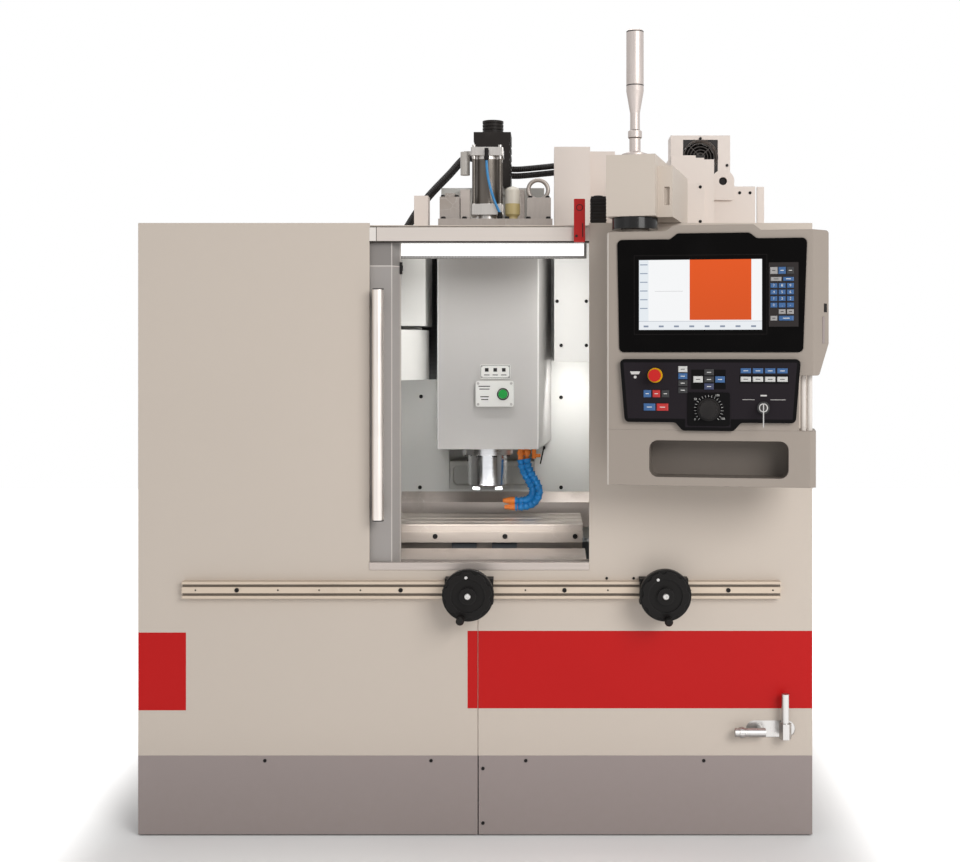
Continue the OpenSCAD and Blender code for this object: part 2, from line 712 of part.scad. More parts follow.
// Table with T-slots, its guide rails and the nut of the X screw below
slot_neck = 18;
slot_foot_w = 24;
slot_foot_h = 11;
module table() color(steel) difference() {
    union() {
        box(head_x - table_w / 2, head_x + table_w / 2, table_d - table_depth / 2, table_d + table_depth / 2,
            table_under, table_z);
        for (sy = [-1, 1])
            box(head_x - table_w / 2, head_x + table_w / 2, table_d + sy * x_rail_off - x_rail_w / 2,
                table_d + sy * x_rail_off + x_rail_w / 2, table_under - x_rail_h, table_under);
        box(head_x - nut_half, head_x + nut_half, table_d - 38, table_d + 38, x_screw_z - nut_r, table_under);
    }
    for (i = [-1:1]) {
        box(head_x - table_w, head_x + table_w, table_d + i * slot_pitch - slot_w / 2,
            table_d + i * slot_pitch + slot_w / 2, table_z - slot_neck - 1, table_z + 1);
        box(head_x - table_w, head_x + table_w, table_d + i * slot_pitch - slot_foot_w / 2,
            table_d + i * slot_pitch + slot_foot_w / 2, table_z - slot_neck - slot_foot_h,
            table_z - slot_neck);
    }
    box(head_x - table_w, head_x + table_w, table_d - table_depth / 2 - 1, table_d - table_depth / 2 + 5,
        table_z - 24, table_z - 6);
    bar_x(head_x - table_w, head_x + table_w, table_d, x_screw_z, screw_dia / 2 + running);
}
// Ball screws: a shaft with a journal at each end
module x_screw() color(steel) {
    x = x_bear_x - bear_t / 2 - apart;
    bar_x(head_x - x, head_x + x, table_d, x_screw_z, screw_dia / 2);
    bar_x(head_x - x_bear_x - bear_t / 2, head_x + x_bear_x + bear_t / 2 - 1, table_d, x_screw_z, journal_r);
}
module y_screw() color(steel) {
    bar_y(head_x, y_bear_front + bear_t + apart, y_bear_rear - apart, y_screw_z, screw_dia / 2);
    bar_y(head_x, y_bear_front + apart, y_bear_rear + bear_t - apart, y_screw_z, journal_r);
}
module z_screw() color(steel) {
    post(head_x, z_screw_d, z_bear_low + bear_t + apart, column_top - bear_t - apart, z_screw_r);
    post(head_x, z_screw_d, z_bear_low, column_top - apart, journal_r);
}

// Head
module head_casting() color(white) difference() {
    union() {
        box(head_x - head_half, head_x + head_half, head_front, head_back, head_z, head_top);
        for (sx = [-1, 1], z = z_truck_zs) {
            x = head_x + sx * z_rail_x;
            box(x - 38, x + 38, head_back, column_d - 10, z, z + 95);
        }
        box(head_x - 46, head_x + 46, head_back, z_screw_d + 36, z_nut_z, z_nut_z + z_nut_h);
        box(head_x + head_half - 1, hose_x + 32, hose_d - 16, hose_d + 16, head_z, head_z + 16);
    }
    for (sx = [-1, 1]) {
        x = head_x + sx * z_rail_x;
        box(x - rail_sq / 2 - apart, x + rail_sq / 2 + apart, column_d - rail_sq - apart, column_d,
            head_z, head_top);
    }
    post(head_x, z_screw_d, z_nut_z - 1, z_nut_z + z_nut_h + 1, z_screw_r + running);
    post(head_x, spindle_d, head_z - 1, head_top + 1, housing_dia / 2);
    for (sx = [-1, 1]) box(head_x + sx * head_half - 30, head_x + sx * head_half + 30, head_front + 190,
        head_back - 60, head_z + 90, head_top - 160);
}
module head_cover() color(cool_grey)
    translate([0, front_y, head_z]) linear_extrude(head_top - head_z) difference() {
    c = cover_mid;
    polygon([[c - cover_w / 2, cover_d], [c + cover_w / 2, cover_d],
        [c + cover_w / 2 + cover_splay, cover_back], [c - cover_w / 2 - cover_splay, cover_back]]);
    polygon([[c - cover_w / 2 + sheet_t, cover_d + sheet_t], [c + cover_w / 2 - sheet_t, cover_d + sheet_t],
        [c + cover_w / 2 + cover_splay - sheet_t, cover_back + 1],
        [c - cover_w / 2 - cover_splay + sheet_t, cover_back + 1]]);
}
cup_x = 96;
cup_r = 25;
eye_x = 182;
eye_z = 1978;
// Top plate with its blocks, the oil cup and the lifting eye
module head_top_plate() {
    color(cool_grey) difference() {
        union() {
            box(head_x - 156, head_x + 220, cover_d, duct_d0 - 10, head_top, plate_top);
            box(head_x - 156, head_x + 190, duct_d0 - 10, cover_back, head_top, plate_top);
            box(-146, -80, 480, 545, plate_top, 1952);
            box(145, 225, 480, 545, plate_top, 1949);
            box(-130, -96, 500, 525, 1952, 1966);
        }
        post(head_x, spindle_d, head_top - 1, plate_top + 1, 40);
    }
    color(orange) translate([cup_x, front_y + 512, plate_top]) rotate_extrude()
        polygon([[0, 0], [cup_r - 8, 0], [cup_r - 8, 14], [cup_r, 22], [cup_r, 104], [cup_r - 6, 112],
            [0, 118]]);
    color(steel) translate([eye_x, front_y + 512, eye_z]) rotate([90, 0, 0]) rotate_extrude()
        translate([33, 0]) circle(r = 7);
}
// Label plate and button plate on the front of the head
module control_plate() color(white) difference() {
    union() {
        plate(42, 1370, 100, 46, 3, cover_d - 4, cover_d);
        plate(41, 1298, 124, 84, 6, cover_d - 24, cover_d);
    }
    bar_y(button_x, cover_d - 25, cover_d - 8, button_z, button_r + apart);
}
module release_button() color("green") bar_y(button_x, cover_d - 31, cover_d - 15, button_z, button_r);
module spindle_housing() color(steel) difference() {
    union() {
        post(head_x, spindle_d, head_z - 26, head_z, flange_dia / 2);
        post(head_x, spindle_d, head_z, head_top - 60, housing_dia / 2);
        for (k = [0:7]) translate([head_x, front_y + spindle_d, head_z - 32]) rotate([0, 0, 22.5 + 45 * k])
            translate([flange_dia / 2 - 9, 0, 0]) cylinder(r = 6, h = 7);
    }
    post(head_x, spindle_d, head_z - 40, head_top, bore_dia / 2 + running);
}
// Spindle: nose with drive keys and the taper that takes the tool holder
module spindle() color(steel) difference() {
    union() {
        translate([head_x, front_y + spindle_d, nose_z]) rotate_extrude()
            polygon([[0, 0], [nose_dia / 2 - 6, 0], [nose_dia / 2, 6],
                [nose_dia / 2, head_z - 26 - nose_z - apart],
                [bore_dia / 2, head_z - 26 - nose_z - apart], [bore_dia / 2, head_top - 80 - nose_z],
                [0, head_top - 80 - nose_z]]);
        for (sx = [-1, 1])
            box(head_x + sx * 38 - 12, head_x + sx * 38 + 12, spindle_d - 8, spindle_d + 8,
                nose_z - key_h, nose_z);
    }
    translate([head_x, front_y + spindle_d, nose_z]) rotate_extrude()
        polygon([[0, -1], [taper_mouth / 2, -1], [taper_mouth / 2, 0], [taper_end / 2, taper_len],
            [taper_end / 2, taper_len + 90], [0, taper_len + 90]]);
}
rod_off = 44;
module drawbar_cylinder() color(steel) {
    post(head_x, spindle_d, plate_top, cyl_low, cylinder_dia / 2 - 10);
    post(head_x, spindle_d, cyl_low, cyl_z1, cylinder_dia / 2);
    for (z = [[cyl_low, cyl_low + cyl_cap], [cyl_z1 - cyl_cap + 8, cyl_z1]]) difference() {
        box(head_x - 54, head_x + 54, spindle_d - 54, spindle_d + 54, z[0], z[1]);
        for (sx = [-1, 1], sy = [-1, 1]) post(head_x + sx * 54, spindle_d + sy * 54, z[0] - 1, z[1] + 1, 4);
    }
    for (sx = [-1, 1], sy = [-1, 1])
        post(head_x + sx * rod_off, spindle_d + sy * rod_off, cyl_low, cyl_z1 + 8, 6);
    box(head_x - 80, head_x - 54, spindle_d - 12, spindle_d + 12, cyl_z1 - 20, cyl_z1 - 8);
    post(head_x - 76, spindle_d, cyl_z1 - 88, cyl_z1 - 10, 16);
}
// Air tube with an elbow at each end
tube_r = 4;
elbow_d = 506;
tube_top = 2076;
tube_mid = 1990;
tube_low = plate_top + 26;
module air_tube() {
    color(black) {
        bar_y(head_x, elbow_d - 18, elbow_d, cyl_z1 - 14, 7);
        post(head_x, elbow_d - 18, tube_top, cyl_z1 - 7, 7);
        post(head_x + 44, elbow_d - 18, plate_top, tube_low, 7);
    }
    color(blue) tube(bend([head_x, front_y + elbow_d - 18, tube_top],
        [head_x, front_y + elbow_d - 18, tube_mid],
        [head_x + 44, front_y + elbow_d - 18, tube_low], 10), tube_r, [0, 1, 0]);
}
// Coolant hose: ball-and-socket segments along a hand-set bend, each ball in the next segment's socket
hose_x = 144;
hose_d = 540;
ball_r = 9;
socket_r = 11.5;
hose_bore = 4;
hose_top = head_z - 42;
hose_route = [[0, 0, 0], [4, -3, -22], [12, -6, -42], [23, -10, -61], [34, -14, -80], [41, -18, -101],
    [39, -21, -123], [27, -24, -142], [9, -26, -153], [-13, -28, -158], [-35, -30, -158]];
hose_path = [for (p = hose_route) [hose_x, hose_d, hose_top] + p];
hose_last = len(hose_path) - 1;
// Turns +Z along v
module along(v) rotate([0, acos(v[2] / norm(v)), atan2(v[1], v[0])]) children();
module socket_cut() {
    sphere(r = ball_r + apart);
    translate([0, 0, -6]) cylinder(r1 = socket_r, r2 = ball_r - 1.5, h = 5);
}
module hose_segment(length) difference() {
    union() {
        translate([0, 0, -4]) cylinder(r = socket_r, h = 11);
        translate([0, 0, 6.9]) cylinder(r1 = socket_r, r2 = 7, h = 3);
        cylinder(r = 6, h = length);
        translate([0, 0, length]) sphere(r = ball_r);
    }
    socket_cut();
    cylinder(r = hose_bore, h = length + ball_r + 1);
}
module coolant_hose() color(blue) translate([0, front_y, 0]) for (i = [0:hose_last - 1]) {
    v = hose_path[i + 1] - hose_path[i];
    translate(hose_path[i]) along(v) hose_segment(norm(v));
}
module coolant_nozzle() color(orange) translate([0, front_y, 0]) {
    translate([hose_x, hose_d, hose_top]) {
        sphere(r = ball_r);
        cylinder(r = 6, h = head_z - hose_top);
        translate([0, 0, 14]) cylinder(r = 10, h = head_z - hose_top - 14);
        translate([0, 0, 18]) cylinder(r = 13, h = 12, $fn = 6);
    }
    translate(hose_path[hose_last]) along(hose_path[hose_last] - hose_path[hose_last - 1]) difference() {
        union() {
            translate([0, 0, -4]) cylinder(r = socket_r, h = 14);
            translate([0, 0, 10]) cylinder(r1 = socket_r, r2 = 6, h = 30);
        }
        socket_cut();
        cylinder(r = hose_bore, h = 41);
    }
    translate([hose_x + 24, hose_d, head_z - 40]) cylinder(r = 7, h = 40);
    translate([hose_x + 24, hose_d, head_z - 30]) rotate([0, 90, 0]) cylinder(r = 6, h = 22);
}

// Tool changer at the left of the head
module carousel_guard() color(white) {
    box(drum_x - 174, drum_x + drum_r, drum_d - 120, drum_d + 120, drum_z1 + 13, roof_z);
    box(drum_x - 90, drum_x + 90, drum_d - 60, drum_d + 60, drum_z1, drum_z1 + 13);
    difference() {
        post(drum_x, drum_d, drum_z0, drum_z1, drum_r);
        post(drum_x, drum_d, drum_z0 + drum_wall, drum_z1 - drum_wall, drum_r - drum_wall);
    }
    post(drum_x, drum_d, drum_z0 + drum_wall, drum_z1 - drum_wall, drum_pin);
    post(drum_x, drum_d, drum_z0 + drum_wall, drum_z0 + 12, drum_pin + 16);
}
module tool_carousel() color(iron) translate([drum_x, front_y + drum_d, drum_z0 + 12 + apart]) difference() {
    union() {
        cylinder(r = drum_r - 34, h = 24);
        cylinder(r = drum_pin + 16, h = 110);
    }
    translate([0, 0, -1]) cylinder(r = drum_pin + running, h = 112);
    for (k = [0:tool_count - 1]) rotate([0, 0, k * 360 / tool_count]) {
        translate([drum_r - 52, 0, -1]) cylinder(r = 27, h = 26);
        translate([drum_r - 52, -18, -1]) cube([40, 36, 26]);
    }
}

// Rear electrical cabinet
knuckle = 60;
module electrical_cabinet() color(beige) {
    difference() {
        box(cab_x0, cab_x1, encl_d, cab_back, cab_z0, cab_z1);
        box(cab_x0 + sheet_t, cab_x1 - sheet_t, encl_d + sheet_t, cab_back + 1,
            cab_z0 + sheet_t, cab_z1 - sheet_t);
    }
    for (z = hinge_zs) {
        post(hinge_x, cab_back + hinge_r, z, z + knuckle, hinge_r);
        box(hinge_x, cab_x0, cab_back - 30, cab_back + 1, z, z + knuckle);
        box(hinge_x - 1, cab_x0 - 5, cab_back - 10, cab_back + hinge_r, z, z + knuckle);
        post(hinge_x, cab_back + hinge_r, z + knuckle, z + 2 * knuckle, hinge_pin);
    }
}
module cabinet_door() color(beige) {
    difference() {
        union() {
            box(cab_x0 + 4, cab_x1 - 1, cab_back + apart, cab_back + 2 + sheet_t, cab_z0 + 1, cab_z1 - 1);
            for (z = hinge_zs) {
                post(hinge_x, cab_back + hinge_r, z + knuckle + apart, z + 2 * knuckle + 6, hinge_r);
                box(hinge_x, cab_x0 + 30, cab_back + 2 + sheet_t, cab_back + hinge_r,
                    z + knuckle + apart, z + 2 * knuckle);
            }
        }
        for (z = hinge_zs) post(hinge_x, cab_back + hinge_r, z, z + 2 * knuckle + apart, hinge_pin + running);
    }
    plate(cab_x1 - 60, 1050, 40, 150, 8, cab_back + 2 + sheet_t, cab_back + 26);
}

// Roof units
module roof_boxes() color(beige) {
    z0 = roof_z + sheet_t;
    difference() {
        union() {
            box(duct_x0, duct_x1, duct_d0, duct_d1, duct_low, duct_top);
            box(duct_x1, 449, duct_d0 + 100, duct_d1, z0, duct_top - 1);
            box(609, 714, 300, 520, z0, 2063);
            box(714, 746, 300, 306, z0, 2050);
            box(610, 713, 284, 301, z0 + 22, 1974);
            box(fan_x - 104, fan_x + 104, fan_d0, fan_d1, z0, fan_z + 76);
            box(726, 893, box_d, 650, z0, 1976);
            box(899, 922, box_d, box_d + 12, z0, 1975);
            box(roof_hole_l - 24, roof_hole_l + 22, 450, 520, z0, 1952);
            plate(lug_x, lug_z - 32, 74, 60, 12, box_d - 12, box_d);
            bar_y(lug_x, box_d - 12, box_d, lug_z, 37);
        }
        bar_y(fan_x, fan_d0 - 1, fan_d1 + 1, fan_z, fan_dia / 2 + 3);
        bar_y(lug_x, box_d - 13, box_d + 1, lug_z, lug_hole / 2);
    }
    bar_y(fan_x, fan_d1 - 64, fan_d1 - 20, fan_z, fan_pin);
    bar_y(fan_x, fan_d1 - 20, fan_d1 - 10, fan_z, 22);
    box(fan_x - fan_dia / 2 - 5, fan_x + fan_dia / 2 + 5, fan_d1 - 18, fan_d1 - 12, fan_z - 4, fan_z + 4);
    box(fan_x - 4, fan_x + 4, fan_d1 - 18, fan_d1 - 12, fan_z - fan_dia / 2 - 5, fan_z + fan_dia / 2 + 5);
}
blades = 7;
module fan_rotor() color(black)
    translate([fan_x, front_y + fan_d1 - 66, fan_z]) rotate([-90, 0, 0]) difference() {
    union() {
        cylinder(r = 22, h = 44);
        for (k = [0:blades - 1]) rotate([0, 0, k * 360 / blades]) translate([0, 0, 22]) rotate([28, 0, 0])
            translate([14, -2, -18]) cube([fan_dia / 2 - 18, 4, 36]);
    }
    translate([0, 0, 1]) cylinder(r = fan_pin + running, h = 50);
}
arm_yaw = 14;
module pendant_arm() color(beige) translate([pivot_x, front_y - pivot_out, 0]) rotate([0, 0, -arm_yaw]) {
    difference() {
        union() {
            con_box(-70, 70, -70, 330, puck_z1, arm_top);
            con_box(70, 112, -20, 280, puck_z1, arm_top - 28);
        }
        translate([88, -21, puck_z1 + 34]) cube([15, 12, 52]);
    }
    con_box(-60, 60, 200, 330, roof_z + sheet_t, puck_z1);
}
module swivel_puck() color(black) translate([pivot_x, front_y - pivot_out, puck_z0]) difference() {
    cylinder(r = puck_dia / 2, h = puck_z1 - puck_z0);
    translate([0, 0, -1]) cylinder(r = stem_r + running, h = puck_z1 - puck_z0 - 3);
}
module beacon() color(steel) translate([pivot_x, front_y - pivot_out, arm_top]) {
    h = beacon_top - arm_top;
    r = beacon_dia / 2;
    rotate_extrude() polygon([[0, 0], [38, 0], [38, 10], [16, 18], [16, 54], [20, 58], [20, 76], [14, 80],
        [14, 128], [r, h - 176], [r, h - 4], [r - 4, h], [0, h]]);
}
coupler_z = slot_z - 2;
module air_fittings() color(steel) {
    box(slot_x - 84, slot_x + 84, sheet_t, 2 * sheet_t, slot_z - 38, slot_z + 38);
    bar_y(slot_x + 38, -32, sheet_t, slot_z + 3, 13);
    translate([slot_x + 38, front_y - 32, slot_z - 20]) cylinder(r = 18, h = 46, $fn = 6);
    post(slot_x + 38, -32, slot_z + 26, slot_z + 112, 11);
    bar_y(slot_x - 30, -30, sheet_t, coupler_z, 12);
    bar_x(slot_x - 110, slot_x - 20, -30, coupler_z, 13);
    bar_x(slot_x - 96, slot_x - 84, -30, coupler_z, 16);
}
cable_r = 11;
// Hoses of the upper motor: hand-set routes of x and height on the left, of x, depth and height on the right
left_route = [[-95, 0], [-150, -58], [-236, -150], [-304, -250], [-326, -300]];
right_route = [[112, 1000, 0], [190, 992, 6], [250, 958, 8], [270, 920, 8]];
left_cable_z = column_top + 110;
right_cable_z = column_top + 50;
right_cable_d = 1000;
left_foot_x = -326;
cable_pitch = 25;
module motor_cables() color(black) translate([0, front_y, 0]) {
    for (k = [0:2]) {
        d = 946 + cable_pitch * k;
        tube(concat([[head_x - motor_half, d, left_cable_z]],
            [for (p = left_route) [p[0], d, left_cable_z + p[1]]],
            [[left_foot_x, d, roof_z + sheet_t]]), cable_r, [0, 1, 0]);
    }
    for (k = [0:1]) {
        up = [0, 0, right_cable_z + cable_pitch * k];
        tube(concat([[head_x + motor_half, right_cable_d, 0] + up], [for (p = right_route) p + up],
            [[right_route[3][0], duct_d1, right_route[3][2]] + up]), cable_r, [0, 0, 1]);
    }
}

// Console
module upright(y0, y1) {
    translate([0, y1, 0]) rotate([90, 0, 0]) linear_extrude(y1 - y0) children();
}
// The housing's outline, from the tray up to the hump on its top
module console_outline() {
    x1 = con_r + con_flare;
    top = hump_w / 2;
    polygon(eased([[con_l, tray_top], [lower_r - 5, tray_top], [lower_r - 5, console_mid],
        [x1 - 27, console_mid], [x1, console_mid + con_taper], [x1, console_top],
        [hump_x + top + hump_run, console_top],
        [hump_x + top, console_top + hump_h], [hump_x - top, console_top + hump_h],
        [hump_x - top - hump_run, console_top], [con_l, console_top]], [0, 0, 0, 8, 8, 8, 8, 8, 8, 8, 8]));
}
// What is cut from its right front edge
module console_wedge() {
    x1 = con_r + con_flare + 1;
    translate([0, 0, console_mid - 1]) linear_extrude(console_top + hump_h - console_mid)
        polygon([[con_r, -console_front - 1], [x1, -console_front - 1], [x1, -con_shoulder]]);
}
module bezel_outline() {
    x0 = con_l + 29;
    x1 = con_r - 15;
    z0 = console_mid + 64;
    z1 = console_top - 23;
    top = hump_w / 2 - 11;
    polygon(eased([[x0 + 6, z0], [x1 - 11, z0], [x1, z1], [hump_x + top + hump_run, z1],
        [hump_x + top, z1 + hump_h], [hump_x - top, z1 + hump_h], [hump_x - top - hump_run, z1],
        [x0, z1]], bezel_r));
}
screen_x = 191;
screen_z = 1594;
module console_housing() color(beige) on_console() difference() {
    union() {
        upright(-console_front, -14) console_outline();
        con_box(con_l + 10, con_r - 10, -15, con_back, console_mid + 20, console_top - 40);
        cylinder_post(stem_r + 16, console_top - 60, puck_z0 - apart);
        cylinder_post(stem_r, console_top - 60, puck_z1 - 6);
    }
    console_wedge();
    upright(-console_front - 1, -console_front + bezel_t - 4) bezel_outline();
}
module cylinder_post(r, z0, z1) {
    translate([0, 0, z0]) cylinder(r = r, h = z1 - z0);
}
module console_bezel() color(black) on_console() difference() {
    upright(-console_front - 4, -console_front + bezel_t - 4) bezel_outline();
    con_box(screen_x - screen_w / 2, screen_x + screen_w / 2, -console_front - 5, -console_front + 1,
        screen_z - screen_h / 2, screen_z + screen_h / 2);
}
module screen() color(white) on_console()
    con_box(screen_x - screen_w / 2, screen_x + screen_w / 2, -console_front - 3, -console_front + 1,
        screen_z - screen_h / 2, screen_z + screen_h / 2);
// Keys: the keypad beside the screen, and those on the lower panel
cap_h = 3;
pad_x = 392;
pad_z = 1617.6;
pad_step = 22.3;
pad_row = 17.9;
pad_key = [18.6, 13.2];
wide_key = [29, 11];
axis_key = [20, 19];
enter_w = 40;
start_x = 46;
start_z = [1320, 1283];
mode_x = 144;
mode_z = 1388;
mode_row = 19.3;
jog_x = 216;
jog_z = 1360;
jog_off = [30, 19.5];
spare_x = 316;
spare_z = 1384;
spare_step = [33, 23];
module key(x, z, size, y) con_plate(x, z, size[0], size[1], 2, y - cap_h, y);
module console_keys() color(black) on_console() {
    y0 = -console_front - 4;
    y1 = panel_face;
    for (i = [0:2]) key(pad_x + pad_step * i, pad_z + 2.3 * pad_row, axis_key, y0);
    for (i = [0:1]) key(pad_x + 6 + 1.5 * pad_step * i, pad_z + pad_row, wide_key, y0);
    for (i = [0:2], k = [0:3]) key(pad_x + pad_step * i, pad_z - pad_row * k, pad_key, y0);
    for (i = [1:2]) key(pad_x + pad_step * i, pad_z - 4 * pad_row, pad_key, y0);
    key(pad_x, pad_z - 5 * pad_row, pad_key, y0);
    key(pad_x + 1.5 * pad_step, pad_z - 5 * pad_row, [enter_w, pad_key[1]], y0);
    for (i = [0:2]) key(start_x + 25 * i, start_z[0], [21, 20], y1);
    for (i = [0:1]) key(start_x + 6 + 36 * i, start_z[1], [32, 20], y1);
    for (k = [0:3]) key(mode_x, mode_z - mode_row * k, [25, 16.5], y1);
    for (p = [[0, 0], [-1, 0], [1, 0], [0, 1], [0, -1]])
        key(jog_x + p[0] * jog_off[0], jog_z + p[1] * jog_off[1], [26, 17.5], y1);
    for (i = [0:3], k = [0:1]) key(spare_x + spare_step[0] * i, spare_z - spare_step[1] * k, [28, 14], y1);
}
module lower_outline() {
    top = lower_hump_w / 2;
    polygon(eased([[lower_l + lower_taper, lower_z0], [lower_hump_x - top - hump_run, lower_z0],
        [lower_hump_x - top, lower_z0 - lower_hump_h], [lower_hump_x + top, lower_z0 - lower_hump_h],
        [lower_hump_x + top + hump_run, lower_z0], [lower_r - lower_taper, lower_z0], [lower_r, lower_z1],
        [lower_l, lower_z1]], bezel_r));
}
module lower_panel() color(black) on_console() difference() {
    union() {
        upright(panel_face, -console_front) lower_outline();
        con_bar(estop_x, panel_face - 8, panel_face, estop_z, 20.5);
        con_bar(port_x, panel_face - 4, panel_face, port_z, port_r);
        con_plate(knob_x, knob_z + 1, 116, 92, 6, panel_face - 3, panel_face);
    }
    con_bar(estop_x, panel_face - 9, panel_face + 12, estop_z, 8 + running);
    con_bar(knob_x, panel_face - 9, panel_face + 10, knob_z, 6 + running);
    con_bar(lock_x, panel_face - 9, panel_face + 10, lock_z, 9 + running);
}
module estop_button() color(red) on_console() {
    con_bar(estop_x, panel_face - 13, panel_face + 5, estop_z, 8);
    con_bar(estop_x, panel_face - 30, panel_face - 13, estop_z, 17);
}
module override_knob() color(black) on_console() difference() {
    union() {
        con_bar(knob_x, panel_face - 3 - apart, panel_face + 9, knob_z, 6);
        con_bar(knob_x, panel_face - knob_skirt, panel_face - 3 - apart, knob_z, knob_dia / 2);
        con_bar(knob_x, panel_face - knob_high, panel_face - knob_skirt, knob_z, knob_dia / 2 - 6);
    }
    for (k = [0:11]) translate([knob_x, panel_face, knob_z]) rotate([90, 0, 0]) rotate([0, 0, 30 * k])
        translate([knob_dia / 2 - 3, 0, knob_skirt + 2]) cylinder(r = knob_flute, h = knob_high);
}
module key_switch() color(steel) on_console() {
    con_bar(lock_x, panel_face - 5, panel_face + 9, lock_z, 9);
    con_bar(lock_x, panel_face - 9, panel_face - apart, lock_z, 17);
    con_box(lock_x - 1.5, lock_x + 1.5, panel_face - 26, panel_face - 9, lock_z - 5, lock_z + 5);
    con_box(lock_x - 1.5, lock_x + 1.5, panel_face - 38, panel_face - 26, lock_z - 52, lock_z + 12);
}
module console_tray() color(beige) on_console() difference() {
    union() {
        translate([0, 0, console_low]) linear_extrude(tray_top - console_low)
            polygon([[con_l, -console_front], [tray_r - tray_edge, -console_front],
                [tray_r, -console_front + tray_edge], [tray_r, 20], [con_l, 20]]);
        for (x = [lower_r + 8, lower_r + 25])
            translate([x, -70, tray_top]) cylinder(r = 7.5, h = console_mid - tray_top);
    }
    con_plate((recess_x0 + recess_x1) / 2, (recess_z0 + recess_z1) / 2, recess_x1 - recess_x0,
        recess_z1 - recess_z0, recess_r, -console_front - 1, -console_front + recess_d);
}

base_casting();
levelling_feet();
guide_rails();
axis_motors();
column();
chip_pan();
left_panel();
right_panel();
skirts();
enclosure_walls();
roof_panel();
door_tracks();
work_light();
back_guard();
tool_rail();
fasteners();
carousel_guard();
electrical_cabinet();
pendant_arm();
swivel_puck();
beacon();
roof_boxes();
interlock_switch();
air_fittings();
motor_cables();
cabinet_door();
tool_carousel();
fan_rotor();
door_frame();
door_window();
door_handle();
saddle();
table();
x_screw();
y_screw();
z_screw();
head_casting();
head_cover();
head_top_plate();
control_plate();
release_button();
spindle_housing();
spindle();
drawbar_cylinder();
air_tube();
coolant_hose();
coolant_nozzle();
left_carriage();
left_handwheel();
right_carriage();
right_handwheel();
console_housing();
console_bezel();
screen();
console_keys();
lower_panel();
console_tray();
estop_button();
override_knob();
key_switch();
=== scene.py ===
import math
import bmesh
import bpy
from mathutils import Matrix, Vector


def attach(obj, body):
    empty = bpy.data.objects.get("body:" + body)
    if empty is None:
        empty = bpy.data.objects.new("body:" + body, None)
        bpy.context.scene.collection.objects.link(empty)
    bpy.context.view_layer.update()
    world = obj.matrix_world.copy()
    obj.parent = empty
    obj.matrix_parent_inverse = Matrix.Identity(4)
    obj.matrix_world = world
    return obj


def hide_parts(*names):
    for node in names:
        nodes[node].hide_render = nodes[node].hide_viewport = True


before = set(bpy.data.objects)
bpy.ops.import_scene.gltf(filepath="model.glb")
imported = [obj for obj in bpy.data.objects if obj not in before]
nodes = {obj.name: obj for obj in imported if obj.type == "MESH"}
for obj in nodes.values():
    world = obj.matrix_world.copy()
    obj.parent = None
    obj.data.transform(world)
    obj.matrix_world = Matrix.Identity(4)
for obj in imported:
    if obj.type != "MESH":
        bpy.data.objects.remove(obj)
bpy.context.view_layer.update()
scene = bpy.context.scene
frontY = -0.7224  # outer face of the front panels
mm = 0.001
print("frame loaded:", len(nodes), "nodes")


def at(x, depth, z):  # millimetres, depth counted back from the front panels
    return Vector((x * mm, frontY + depth * mm, z * mm))


swivel = {"spot": at(466, -122, 0), "turn": math.radians(-9)}
consoleFrame = Matrix.Translation(swivel["spot"]) @ Matrix.Rotation(swivel["turn"], 4, "Z")


def onConsole(x, y, z):  # millimetres in the console's own turned frame
    return consoleFrame @ Vector((x * mm, y * mm, z * mm))


def tone(red, green, blue):  # a screen colour, 0 to 255, as a shader colour
    def light(v):
        v /= 255
        return v / 12.92 if v <= 0.04045 else ((v + 0.055) / 1.055) ** 2.4
    return (light(red), light(green), light(blue), 1.0)


class Val:  # a socket that can stand in a Python sum
    def __init__(self, tree, socket):
        self.tree, self.socket = tree, socket

    def sum(self, operation, *values, clamp=False):
        return self.tree.node("ShaderNodeMath", dict(enumerate(values)), operation=operation, use_clamp=clamp)[0]

    def __add__(self, other): return self.sum("ADD", self, other)
    __radd__ = __add__
    def __sub__(self, other): return self.sum("SUBTRACT", self, other)
    def __rsub__(self, other): return self.sum("SUBTRACT", other, self)
    def __mul__(self, other): return self.sum("MULTIPLY", self, other)
    __rmul__ = __mul__
    def __truediv__(self, other): return self.sum("DIVIDE", self, other)
    def __rtruediv__(self, other): return self.sum("DIVIDE", other, self)
    def __pow__(self, other): return self.sum("POWER", self, other)
    def __gt__(self, other): return self.sum("GREATER_THAN", self, other)
    def __lt__(self, other): return self.sum("LESS_THAN", self, other)
    def __abs__(self): return self.sum("ABSOLUTE", self)


class Tree:  # one node tree, of a finish or of a growing piece
    family = "ShaderNode"

    def __init__(self, tree):
        self.tree = tree

    def node(self, kind, sockets=None, **settings):  # a short kind is of the tree's own family
        made = self.tree.nodes.new(kind if "Node" in kind else self.family + kind)
        for key, value in settings.items():
            setattr(made, key, value)
        for key, value in (sockets or {}).items():
            if isinstance(value, Val):
                self.tree.links.new(value.socket, made.inputs[key])
            else:
                made.inputs[key].default_value = value
        return [Val(self, s) for s in made.outputs]


finishes = {}


